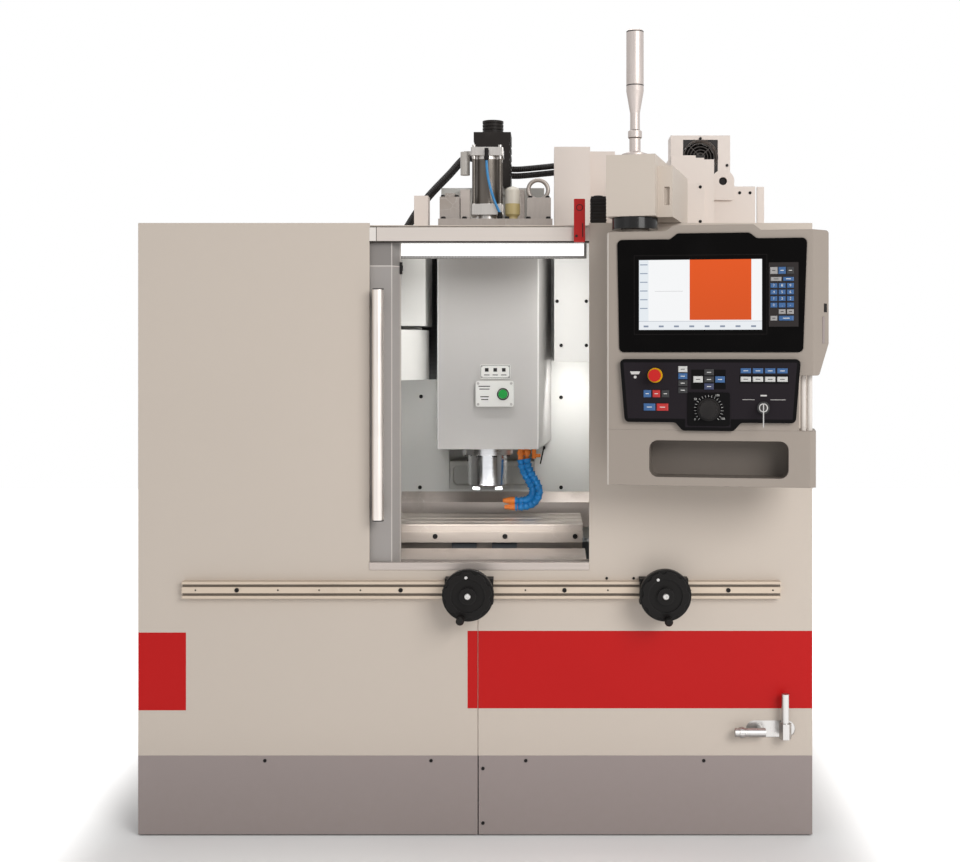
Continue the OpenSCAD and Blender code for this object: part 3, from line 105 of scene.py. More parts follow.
class Finish(Tree):  # a material on Object coordinates
    def __init__(self, name, **settings):
        self.material = finishes[name] = bpy.data.materials.new(name)
        self.material.use_nodes = True
        super().__init__(self.material.node_tree)
        self.shader = self.tree.nodes["Principled BSDF"]
        for key, value in settings.items():
            self.shader.inputs[key.replace("_", " ")].default_value = value
        self.place = self.node("TexCoord")[3]

    def feed(self, name, value):
        self.tree.links.new(value.socket, self.shader.inputs[name])

    def axes(self, place=None):
        return self.node("SeparateXYZ", {0: place or self.place})

    def consoleAxes(self):
        sockets = {0: self.place, 1: swivel["spot"], 2: (0, 0, swivel["turn"])}
        return self.axes(self.node("Mapping", sockets, vector_type="TEXTURE")[0])

    def noise(self, scale, detail=2.0, stretch=None):
        vector = self.node("Mapping", {0: self.place, 3: stretch})[0] if stretch else self.place
        return self.node("TexNoise", {"Vector": vector, "Scale": scale, "Detail": detail})[0]

    def mix(self, factor, first, second):
        return self.node("Mix", {0: factor, 6: first, 7: second}, data_type="RGBA")[2]

    def over(self, base, *layers):  # each a mask and a screen colour
        for mask, colour in layers:
            base = self.mix(mask, base, tone(*colour))
        return base

    def shade(self, colour, amount):  # a colour times a value
        return self.node("Mix", {0: 1.0, 6: colour, 7: amount}, data_type="RGBA", blend_type="MULTIPLY")[2]

    def soft(self, value, low, high):  # 0 below low, 1 above high
        return self.node("MapRange", {0: value, 1: low, 2: high}, interpolation_type="SMOOTHSTEP")[0]

    def near(self, a, b, radius):  # 1 inside a circle of the two axes, already centred
        return (a * a + b * b) < radius * radius

    def rounded(self, radius):  # the normal, bent round the edges
        return self.node("Bevel", {0: radius}, samples=4)[0]

    def edges(self, radius, gain):  # 0 on flat faces, towards 1 along edges
        flat = self.node("NewGeometry")[1]
        dot = self.node("VectorMath", {0: self.rounded(radius), 1: flat}, operation="DOT_PRODUCT")[1]
        return dot.sum("MULTIPLY", 1 - dot, gain, clamp=True)

    def relief(self, height, distance, edge=0.0012):  # bump over softened edges
        sockets = {"Distance": distance, "Height": height, "Normal": self.rounded(edge)}
        self.feed("Normal", self.node("Bump", sockets)[0])


def inside(a, low, high):
    return (a > low) * (a < high)


def field(a, b, lowA, highA, lowB, highB):  # 1 inside a rectangle
    return inside(a, lowA, highA) * inside(b, lowB, highB)


def added(name, data):
    made = bpy.data.objects.new(name, data)
    scene.collection.objects.link(made)
    return made


# camera
view = {"x": 222, "height": 1440, "away": 3900, "lens": 49.3, "shiftX": -0.073, "shiftY": -0.084}
cam = bpy.data.cameras.new("view")
cam.lens, cam.sensor_width = view["lens"], 36
cam.shift_x, cam.shift_y = view["shiftX"], view["shiftY"]
scene.camera = camera = added("view", cam)
camera.location = at(view["x"], -view["away"], view["height"])
camera.rotation_euler = (math.pi / 2, 0, 0)
print("camera set")

# light
studio = {"sky": 0.46, "key": 186, "fill": 8, "top": 90, "strip": 0.72, "walls": 1.2,
          "keyTint": (1.0, 0.985, 0.965), "fillTint": (0.98, 0.99, 1.0), "cabinTint": (1.0, 0.99, 0.97)}
scene.view_settings.view_transform = "Standard"
world = bpy.data.worlds.new("studio")
scene.world = world
world.use_nodes = True


def seenRays(tree):  # 1 for what the camera, gloss and glass see
    ray = tree.node("LightPath")
    return ray[0].sum("ADD", ray[0] + ray[3], ray[6], clamp=True)


skyLight = studio["sky"] + seenRays(Tree(world.node_tree)) * (1 - studio["sky"])
backdrop = world.node_tree.nodes["Background"]
backdrop.inputs[0].default_value = (1, 1, 1, 1)
world.node_tree.links.new(skyLight.socket, backdrop.inputs[1])


def lamp(name, place, target, size, energy, colour=(1, 1, 1), spread=180):
    data = bpy.data.lights.new(name, "AREA")
    data.shape, data.size, data.size_y, data.energy, data.color = "RECTANGLE", size[0], size[1], energy, colour
    data.spread = math.radians(spread)
    made = added(name, data)
    made.location, made.visible_camera = place, False
    made.rotation_euler = (Vector(target) - Vector(place)).to_track_quat("-Z", "Y").to_euler()


lamp("keyLamp", (3.1, -5.5, 3.3), (0.1, -0.5, 1.0), (3.0, 2.4), studio["key"], studio["keyTint"])
lamp("fillLamp", (-3.6, -4.6, 2.4), (0, -0.5, 1.0), (2.6, 2.6), studio["fill"], studio["fillTint"])
lamp("topLamp", (0.2, 0.4, 5.2), (0, 0, 1.8), (3.4, 3.4), studio["top"])
lamp("stripLamp", at(30, 130, 1705), at(30, 420, 850), (0.56, 0.06), studio["strip"], studio["cabinTint"], 140)
# weak lamps inside the cabin: place, target, size and share of the walls' light
cabinLamps = {
    "boxLampLeft": ((-190, 300, 1700), (-250, 890, 1250), (0.1, 0.2), 0.05),
    "boxLampRight": ((275, 360, 1690), (290, 700, 1250), (0.1, 0.3), 0.13),
    "wallLampLeft": ((-222, 560, 1300), (-225, 890, 1060), (0.08, 0.2), 0.34),
    "wallLampRight": ((322, 660, 1320), (262, 890, 1080), (0.08, 0.2), 0.52),
    "sideLamp": ((330, 330, 1480), (190, 560, 1480), (0.1, 0.6), 0.45),
    "lowLamp": ((10, 215, 915), (10, 640, 1010), (0.5, 0.05), 0.46)}
for name, (spot, target, size, share) in cabinLamps.items():
    lamp(name, at(*spot), at(*target), size, share * studio["walls"], studio["cabinTint"])

# the floor is lit white away from the footprint and keeps the shadow near it
paleFloor = {"reach": 9, "tone": 0.88, "halfX": 0.8, "halfY": 0.86, "fadeFrom": 0.2, "fadeTo": 0.62}
r = paleFloor["reach"]
floorMesh = bpy.data.meshes.new("floor")
floorMesh.from_pydata([(-r, -r, 0), (r, -r, 0), (r, r, 0), (-r, r, 0)], [], [(0, 1, 2, 3)])
floor = added("floor", floorMesh)
ground = Finish("paleFloor", Roughness=0.9, Emission_Strength=1.0, Specular_IOR_Level=0.1)
ground.feed("Base Color", ground.shade((paleFloor["tone"],) * 3 + (1,), 0.985 + 0.03 * ground.noise(1.3)))
gx, gy = ground.axes()[:2]
awayX = gx.sum("MAXIMUM", abs(gx) - paleFloor["halfX"], 0.0)
awayY = gy.sum("MAXIMUM", abs(gy) - paleFloor["halfY"], 0.0)
away = (awayX * awayX + awayY * awayY) ** 0.5  # metres outside the footprint
lit = ground.soft(away, paleFloor["fadeFrom"], paleFloor["fadeTo"]) * seenRays(ground)
ground.feed("Emission Color", ground.shade((1, 1, 1, 1), lit))
floorMesh.materials.append(ground.material)
print("light and floor set")

# painted finishes
paints = {"beige": tone(203, 192, 181), "console": tone(157, 147, 138), "skirt": tone(154, 143, 141),
          "cool": tone(188, 186, 184), "door": tone(162, 157, 154), "white": tone(228, 228, 225),
          "red": tone(186, 4, 4), "switch": tone(184, 22, 20), "roof": tone(222, 212, 205),
          "cast": tone(206, 206, 202), "iron": tone(112, 116, 120)}
redFields = {"left": (-1.001, -0.858, 0.372, 0.603), "right": (-0.023, 1.001, 0.378, 0.608)}


def powderCoat(name, colour, rough=0.42, extra=None, edge=0.0016, peel=0.00012, wear=0.25):
    made = Finish(name, Roughness=rough, Specular_IOR_Level=0.25)
    x, y, z = made.axes()
    cloud = made.noise(1.7, 3.0)
    speck = made.noise(46.0, 4.0)
    grain = made.noise(620.0, 2.0)
    base = made.shade(colour, 0.965 + 0.05 * cloud + 0.012 * speck)
    rub = made.edges(edge * 1.6, 2.2) * made.soft(speck, 0.42, 0.62)
    base = made.mix(rub * wear, base, tuple(min(1, c * 1.35 + 0.03) for c in colour[:3]) + (1,))
    dust = (1 - made.soft(z, 0.0, 0.36)) * (0.35 + 0.5 * speck)
    base = made.mix(dust * 0.28, base, tone(120, 110, 100))
    if extra:
        base = extra(made, base, x, y, z)
    made.feed("Base Color", base)
    made.feed("Roughness", rough - 0.05 + 0.12 * cloud + 0.05 * grain + 0.12 * dust)
    made.relief(grain, peel, edge)


def frontFields(made, base, x, y, z):  # the two red fields on the front
    front = y < frontY + 0.0008
    fields = field(x, z, *redFields["left"]) + field(x, z, *redFields["right"])
    film = made.shade(paints["red"], 0.95 + 0.09 * made.noise(3.0, 3.0))
    return made.mix(fields * front, base, film)


def wallSeams(made, base, x, y, z):  # panel joints and a vent field on the side and back walls
    side = abs(x) > 0.9992
    joint = inside(y, 0.018, 0.0215) + inside(z, 1.2, 1.2035) * (y > 0.02)
    rows = z.sum("FRACT", z * 30)
    vent = inside(rows, 0.32, 0.62) * inside(z, 0.4, 0.7) * inside(y, 0.22, 0.5)
    return made.mix(side * (0.7 * joint + 0.9 * vent), base, tone(58, 54, 50))


def doorZones(made, base, x, y, z):  # painted shade on the stile's head, which leans back, and painted highlights along its fold, its front edge and the inner edge of its bevel
    # joint: painted highlight lines on the fold under the head and on the stile's front edge
    joint = inside(z, 1.690, 1.693) + inside(x, -0.2512, -0.2486)
    # painted highlight line on the inner edge of the bevel
    edgeHighlight = inside(x, -0.2295, -0.2262)
    # the head above the fold gets painted shade
    return made.over(base, ((z > 1.693) * 0.42, (96, 92, 89)), (joint * 0.7, (226, 219, 214)),
                     (edgeHighlight * 0.8, (196, 190, 184)))


def trackZones(made, base, x, y, z):  # pale header with its corner piece, bare steel sill, a dark joint at the corner piece and painted shadow along the header's lower edge
    sill = z < 0.9
    brush = made.noise(1.0, 4.0, (4, 150, 150))
    made.feed("Metallic", sill * 0.6)
    base = made.mix(sill, base, made.shade(tone(180, 170, 164), 0.82 + 0.3 * brush))
    header = (z > 1.7) * (y < frontY + 0.0125)
    base = made.mix(header, base, made.shade(tone(212, 203, 196), 0.98 + 0.04 * brush))
    # dark joint beside the corner piece, and painted shadow along the header's lower edge
    jointAndShadowLine = header * ((z < 1.7645) + inside(x, -0.2945, -0.2925))
    return made.over(base, (header * (x < -0.294), (228, 222, 216)), (jointAndShadowLine, (50, 43, 39)))


def roofZones(made, base, x, y, z):  # white duct inside the cabin, black fan square, dark eye of the lug
    fan = field(x, z, 0.6872, 0.8088, 2.0552, 2.1768) * (y < frontY + 0.7004)
    eye = made.near(x - 0.786, z - 1.992, 0.0132) * inside(y, frontY + 0.3992, frontY + 0.4035)
    return made.over(base, (z < 1.8125, (246, 246, 244)), (fan + eye, (26, 23, 22)))


def guardZones(made, base, x, y, z):  # painted shadow in the gap beside the head, with ripples
    # painted shadow in the gap left of the head
    gapShadow = inside(x, -0.245, -0.146) * (z > 1.334) * (y > frontY + 0.8885)
    shadowRipple = z.sum("SINE", z * 420.0)
    return made.mix(gapShadow, base, made.shade(tone(38, 36, 35), 0.85 + 0.2 * shadowRipple))


def coverZones(made, base, x, y, z):  # painted highlights down the front edges
    foldHighlight = (y < frontY + 0.4213) * ((x > 0.1808) + (x < -0.1455))
    return made.mix(foldHighlight * 0.85, base, tone(246, 246, 244))


def consoleZones(made, base, x, y, z):  # painted shade in the tray's recess, a painted highlight along the rounded left edge, and pale stay rods
    cx, cy, cz = made.consoleAxes()
    # painted shade in the recess of the tray
    trayShade = field(cx, cz, 0.045, 0.438, 1.086, 1.184) * inside(cy, -0.1112, 0.0)
    rods = made.near(cx - 0.473, cy + 0.070, 0.0088) + made.near(cx - 0.490, cy + 0.070, 0.0088)
    # cx < -0.0632 is a painted highlight on the rounded left edge
    return made.over(base, (trayShade * 0.6, (74, 68, 63)), ((cx < -0.0632) * 0.6, (206, 200, 193)),
                     (rods * inside(cz, 1.2, 1.43), (222, 216, 210)))


paintRows = {  # colour, roughness, zones, edge, orange peel and wear
    "beigePaint": ("beige",), "panelPaint": ("beige", 0.42, frontFields), "wallPaint": ("beige", 0.42, wallSeams),
    "roofPaint": ("roof", 0.42, roofZones), "skirtPaint": ("skirt", 0.5, None, 0.0016, 0.00012, 0.4),
    "consolePaint": ("console", 0.48, consoleZones, 0.003, 0.00022), "coverPaint": ("cool", 0.36, coverZones, 0.003),
    "trackPaint": ("cool", 0.36, trackZones), "doorPaint": ("door", 0.34, doorZones, 0.003),
    "whitePaint": ("white", 0.34), "guardPaint": ("white", 0.34, guardZones),
    "castPaint": ("cast", 0.5, None, 0.004, 0.0006), "ironPaint": ("iron", 0.55, None, 0.004, 0.0007),
    "redPaint": ("switch", 0.3, None, 0.002)}
for name, (colour, *settings) in paintRows.items():
    powderCoat(name, paints[colour], *settings)
print("paints mixed")

# bare metals
headAxis = (0.010, frontY + 0.56)  # the spindle and the cylinder above it


def sheetMetal(name, colour, rough, stretch, scratch, stain, metallic=1.0, extra=None):
    made = Finish(name, Roughness=rough, Metallic=metallic)
    x, y, z = made.axes()
    brush = made.noise(1.0, 4.0, stretch)
    cloud = made.noise(7.0, 4.0)
    fine = made.node("TexVoronoi", {"Vector": made.place, "Scale": 26.0}, feature="DISTANCE_TO_EDGE")[0]
    scuff = (1 - made.soft(fine, 0.0, 0.012)) * made.soft(cloud, 0.5, 0.66)
    base = made.shade(colour, 0.86 + 0.2 * brush + 0.1 * (cloud - 0.5))
    stained = made.soft(cloud, 0.52, 0.72) * stain
    base = made.over(base, (stained, (128, 118, 106)), (scuff * scratch, (235, 235, 232)))
    if extra:
        base, metal = extra(made, base, x, y, z)
        made.feed("Metallic", metal * metallic)
    made.feed("Base Color", base)
    made.feed("Roughness", rough - 0.08 + 0.2 * brush + 0.16 * made.soft(cloud, 0.45, 0.75))
    made.relief(brush + 0.4 * scuff, 0.00008, 0.001)


def handleBrackets(made, base, x, y, z):  # dark brackets behind the bright bar
    back = (y > frontY - 0.0168) + inside(z, 0.936, 0.9415) + inside(z, 1.6185, 1.624)
    return made.mix(back, base, tone(48, 46, 45)), 1 - made.soft(back, 0.2, 0.8)


def topFittings(made, base, x, y, z):  # pale oil cup, amber below its level
    cup = made.near(x - 0.096, y - (frontY + 0.512), 0.027) * (z > 1.8735)
    base = made.over(base, (cup, (206, 200, 188)), (cup * inside(z, 1.879, 1.931), (186, 168, 116)))
    return base, 1 - made.soft(cup, 0.2, 0.8)


def tieRods(made, base, x, y, z):  # darker rods round the bright tube, pale valve beside it
    rods = inside(z, 1.933, 2.083) * (1 - made.near(x - headAxis[0], y - headAxis[1], 0.0455))
    valve = x < -0.0505
    base = made.over(base, (rods, (92, 86, 80)), (valve, (188, 184, 178)))
    return base, 1 - made.soft(0.4 * rods + valve, 0.1, 0.9)


def railGrooves(made, base, x, y, z):  # dirt in the two grooves of the rail
    groove = inside(y, frontY - 0.0166, frontY - 0.0152)
    return made.mix(groove * 0.8, base, tone(66, 58, 52)), 1 - 0.7 * groove


def lampBands(made, base, x, y, z):  # joints between the beacon's rings
    band = inside(z, 2.1985, 2.202) + inside(z, 2.3525, 2.356)
    band = band + inside(z, 2.071, 2.073) + inside(z, 2.0485, 2.0505)
    return made.mix(band, base, tone(70, 66, 64)), 1 - 0.6 * band


def flangeScrews(made, base, x, y, z):  # black screw heads under the spindle flange
    head = inside(z, 1.0815, 1.0888) * (1 - made.near(x - headAxis[0], y - headAxis[1], 0.0705))
    return made.mix(head, base, tone(34, 33, 33)), 1 - head


def lockRing(made, base, x, y, z):  # black collar round the key switch
    cx, cy, cz = made.consoleAxes()
    lockX, lockZ, behind = cx - 0.364, cz - 1.283, cy > -0.1358
    barrel = made.near(lockX, lockZ, 0.0122)
    collar = (1 - barrel) * behind
    slot = made.near(lockX, lockZ, 0.0095) * barrel * behind
    return made.over(base, (slot, (70, 68, 68)), (collar, (24, 23, 24))), 1 - collar


metalRows = {  # colour, roughness, stretch of the brushing, scratches, stains, metallic and zones
    "steelSheet": ((204, 194, 187), 0.4, (3, 60, 60), 0.5, 0.35, 0.5),
    "groundSteel": ((192, 181, 172), 0.36, (6, 240, 60), 0.6, 0.25, 0.55),
    "brightSteel": ((188, 186, 184), 0.28, (240, 240, 8), 0.3, 0.1),
    "cylinderSteel": ((184, 180, 176), 0.3, (200, 200, 4), 0.3, 0.2, 0.85, tieRods),
    "lockSteel": ((196, 194, 192), 0.22, (240, 240, 8), 0.3, 0.1, 1.0, lockRing),
    "turnedChrome": ((214, 215, 218), 0.14, (4, 4, 520), 0.3, 0.05),
    "flangeSteel": ((200, 200, 202), 0.2, (4, 4, 420), 0.3, 0.1, 1.0, flangeScrews),
    "satinAluminium": ((206, 202, 197), 0.36, (220, 220, 6), 0.3, 0.08),
    "railAluminium": ((202, 186, 168), 0.42, (1.5, 700, 700), 0.2, 0.1, 0.35, railGrooves),
    "barAluminium": ((222, 214, 208), 0.3, (260, 260, 5), 0.2, 0.05, 0.8, handleBrackets),
    "beaconAluminium": ((196, 186, 181), 0.4, (200, 200, 8), 0.2, 0.05, 0.6, lampBands),
    "topSteel": ((158, 150, 144), 0.38, (120, 120, 20), 0.5, 0.3, 0.7, topFittings)}
for name, (colour, *settings) in metalRows.items():
    sheetMetal(name, tone(*colour), *settings)
print("metals made")


# plastics, rubber and glass
def moulded(name, colour, rough, grainSize=900.0, depth=0.00008, coat=0.0, edge=0.0012, dusty=0.18, shine=0.14,
            extra=None):
    made = Finish(name, Roughness=rough, Coat_Weight=coat, Coat_Roughness=0.12, Specular_IOR_Level=shine)
    x, y, z = made.axes()
    grain = made.noise(grainSize, 3.0)
    cloud = made.noise(9.0, 4.0)
    base = made.shade(colour, 0.9 + 0.2 * cloud)
    rub = made.edges(edge * 1.5, 2.0)
    base = made.mix(rub * 0.22, base, tuple(min(1, c + 0.12) for c in colour[:3]) + (1,))
    base = made.mix(made.soft(cloud, 0.5, 0.8) * dusty * 0.4, base, tone(140, 134, 128))
    if extra:
        base = extra(made, base, x, y, z)
    made.feed("Base Color", base)
    made.feed("Roughness", rough - 0.06 + 0.14 * cloud + 0.06 * grain)
    made.relief(grain, depth, edge)


def panelInsert(made, base, x, y, z):  # charcoal insert, black fields, white lines, yellow collar and pale port
    cx, cy, cz = made.consoleAxes()
    lean = (1.416 - cz) * 0.08
    insert = field(cx, cz, lean - 0.0215, 0.4555 - lean, 1.251, 1.4065)
    hump = (abs(cx - 0.213) < 0.062) * inside(cz, 1.228, 1.252)
    charcoal = made.shade(tone(36, 32, 36), 0.9 + 0.2 * made.noise(400.0))
    base = made.mix(made.soft(insert + hump, 0.2, 0.8), base, charcoal)
    jog = field(cx, cz, 0.167, 0.2615, 1.333, 1.387) + field(cx, cz, 0.2985, 0.432, 1.349, 1.3725)
    raised = cy < -0.1264
    plate = field(cx, cz, 0.1568, 0.2732, 1.2318, 1.3242) * raised
    lines = (inside(cx, 0.307, 0.340) + inside(cx, 0.3825, 0.4235)) * inside(cz, 1.3042, 1.3054)
    lines = lines + field(cx, cz, 0.356, 0.373, 1.3142, 1.3182)
    label = (abs(cx - 0.012) < 0.0143 - (1.3815 - cz) * 0.5) * inside(cz, 1.3735, 1.3815)
    port = made.near(cx - 0.0125, cz - 1.366, 0.0042) * raised
    collar = made.near(cx - 0.068, cz - 1.371, 0.0212) * raised
    return made.over(base, (jog + plate, (15, 14, 15)), (lines + label + port, (206, 204, 202)),
                     (collar, (214, 164, 24)))


def padFilm(made, base, x, y, z):  # a dark film under the keypad and a thin line round the screen
    cx, cy, cz = made.consoleAxes()
    film = field(cx, cz, 0.3786, 0.4585, 1.505, 1.681)
    around = field(cx, cz, 0.008, 0.374, 1.484, 1.704) - field(cx, cz, 0.0092, 0.3728, 1.4852, 1.7028)
    return made.mix(film * 0.8 + around * 0.35, base, tone(58, 54, 54))


plasticRows = {  # colour, roughness, grain size and depth, coat, edge, dust, shine and zones
    "blackMatte": ((30, 28, 28), 0.5), "blackMotor": ((38, 34, 32), 0.42, 300.0, 0.0002),
    "blackGloss": ((14, 13, 13), 0.2, 1400.0, 0.00002, 0.3, 0.002, 0.05),
    "bezelBlack": ((9, 8, 8), 0.3, 1400.0, 0.00002, 0.0, 0.002, 0.01, 0.03, padFilm),
    "panelBlack": ((14, 13, 14), 0.4, 1200.0, 0.00005, 0.0, 0.0012, 0.01, 0.05, panelInsert),
    "wireGrey": ((84, 80, 78), 0.4, 700.0, 0.00005),
    "wheelBlack": ((20, 18, 17), 0.4, 700.0, 0.00008, 0.04, 0.003, 0.06, 0.1),
    "stopRed": ((190, 22, 20), 0.28, 900.0, 0.00004, 0.3, 0.002, 0.05),
    "buttonGreen": ((22, 150, 62), 0.3, 900.0, 0.00004, 0.3, 0.002, 0.05),
    "linkBlue": ((34, 124, 190), 0.28, 500.0, 0.00006, 0.3, 0.001),
    "fittingOrange": ((216, 122, 52), 0.36, 500.0, 0.00006, 0.1, 0.001),
    "tubeBlue": ((58, 140, 200), 0.25, 500.0, 0.00003, 0.3, 0.0006),
    "markDark": ((52, 50, 50), 0.5, 900.0, 0.00002, 0.0, 0.0012, 0.0),
    "markWhite": ((226, 226, 224), 0.5, 900.0, 0.00002, 0.0, 0.0012, 0.0)}
for name, (colour, *settings) in plasticRows.items():
    moulded(name, tone(*colour), *settings)

made = Finish("hoseRubber", Roughness=0.55)
ribPlace = made.node("Attribute", attribute_name="along")[2]
ribWave = ribPlace.sum("SINE", ribPlace * 900.0)
rubberCloud = made.noise(30.0, 4.0)
made.feed("Base Color", made.shade(tone(34, 31, 30), 0.75 + 0.25 * ribWave + 0.4 * rubberCloud))
made.feed("Roughness", 0.45 + 0.25 * rubberCloud)
made.relief(ribWave, 0.0012, 0.0004)

made = Finish("doorGlass", Roughness=0.06, Alpha=0.32)
streak = made.noise(1.0, 3.0, (30, 30, 3))
made.feed("Base Color", made.shade(tone(196, 206, 204), 0.9 + 0.15 * streak))
made.feed("Roughness", 0.04 + 0.16 * made.soft(streak, 0.5, 0.8))
made.relief(streak, 0.00003, 0.001)

made = Finish("lampLens", Roughness=0.4, Emission_Strength=1.0)
lx, lz = made.axes()[::2]
ribbing = lx.sum("SINE", lx * 700.0)
endCap = 1 - inside(lx, -0.241, 0.324) * (lz > 1.7248)
made.feed("Base Color", made.mix(endCap, tone(240, 240, 238), tone(150, 148, 146)))
lensGlow = made.shade((1.0, 0.995, 0.98, 1), 0.93 + 0.05 * ribbing)
made.feed("Emission Color", made.mix(endCap, lensGlow, (0, 0, 0, 1)))
made.relief(ribbing, 0.0004, 0.001)

# the lit screen: plain fields of a working page
screenPage = {"x0": 0.022, "width": 0.338, "z0": 1.497, "height": 0.194}
made = Finish("display", Roughness=0.18, Emission_Strength=0.96, Coat_Weight=0.05, Specular_IOR_Level=0.1)
sx, sz = made.consoleAxes()[::2]
su = (sx - screenPage["x0"]) / screenPage["width"]
sv = (sz - screenPage["z0"]) / screenPage["height"]
rowWave, colWave = sv.sum("FRACT", sv * 8.0), su.sum("FRACT", su * 8.0)
page = made.shade(tone(248, 249, 250), 0.985 + 0.03 * made.noise(6.0))
page = made.mix(field(su, sv, 0.415, 0.915, 0.14, 1.0), page, made.shade(tone(224, 84, 18), 0.92 + 0.14 * sv))
page = made.over(
    page, (field(su, sv, 0.0, 0.078, 0.0, 1.0), (232, 238, 243)),
    (field(su, rowWave, 0.008, 0.07, 0.4, 0.52) * (sv > 0.2), (150, 162, 180)),
    (field(su, sv, 0.0, 1.0, 0.0, 0.12), (236, 240, 244)),
    (field(colWave, sv, 0.3, 0.62, 0.036, 0.062), (140, 150, 168)),
    (field(su, sv, 0.13, 0.36, 0.55, 0.553), (120, 120, 120)),
    (field(su, sv, 0.0, 1.0, 0.12, 0.125), (150, 158, 170)))
made.feed("Emission Color", page)
made.feed("Base Color", made.shade(tone(20, 20, 22), 0.9 + 0.2 * made.noise(8.0)))
made.relief(made.noise(900.0), 0.00001, 0.0006)
print("plastics and screen made")

made = Finish("keyPlastic", Roughness=0.4)
keyTone = made.node("Attribute", attribute_name="capColour")[0]
keyGrain = made.noise(1200.0)
made.feed("Base Color", made.shade(keyTone, 0.9 + 0.2 * made.noise(60.0)))
made.feed("Roughness", 0.36 + 0.12 * keyGrain)
made.relief(keyGrain, 0.00004, 0.0008)

dressing = {
    "beigePaint": ["roof_panel", "electrical_cabinet", "cabinet_door", "pendant_arm"], "roofPaint": ["roof_boxes"],
    "panelPaint": ["left_panel", "right_panel"], "wallPaint": ["enclosure_walls"], "skirtPaint": ["skirts"],
    "consolePaint": ["console_housing", "console_tray"], "coverPaint": ["head_cover"], "trackPaint": ["door_tracks"],
    "doorPaint": ["door_frame"], "whitePaint": ["carousel_guard", "control_plate"], "guardPaint": ["back_guard"],
    "castPaint": ["column", "head_casting"], "ironPaint": ["base_casting", "saddle"], "redPaint": ["interlock_switch"],
    "steelSheet": ["chip_pan", "guide_rails", "levelling_feet"], "groundSteel": ["table"],
    "brightSteel": ["air_fittings", "x_screw", "y_screw", "z_screw", "fasteners"],
    "cylinderSteel": ["drawbar_cylinder"], "lockSteel": ["key_switch"], "turnedChrome": ["spindle"],
    "flangeSteel": ["spindle_housing"], "satinAluminium": ["tool_carousel"], "railAluminium": ["tool_rail"],
    "barAluminium": ["door_handle"], "beaconAluminium": ["beacon"], "topSteel": ["head_top_plate"],
    "blackMatte": ["left_carriage", "right_carriage", "fan_rotor", "override_knob", "console_keys", "motor_cables"],
    "blackMotor": ["axis_motors"], "blackGloss": ["swivel_puck"], "bezelBlack": ["console_bezel"],
    "panelBlack": ["lower_panel"], "wheelBlack": ["left_handwheel", "right_handwheel"],
    "stopRed": ["estop_button"], "buttonGreen": ["release_button"], "linkBlue": ["coolant_hose"],
    "fittingOrange": ["coolant_nozzle"], "tubeBlue": ["air_tube"],
    "doorGlass": ["door_window"], "lampLens": ["work_light"], "display": ["screen"],
}
for finish, names in dressing.items():
    for name in names:
        mesh = nodes[name].data
        if not mesh.materials:
            mesh.materials.append(finishes[finish])
        for i in range(len(mesh.materials)):
            mesh.materials[i] = finishes[finish]
print("nodes dressed:", sum(len(v) for v in dressing.values()))


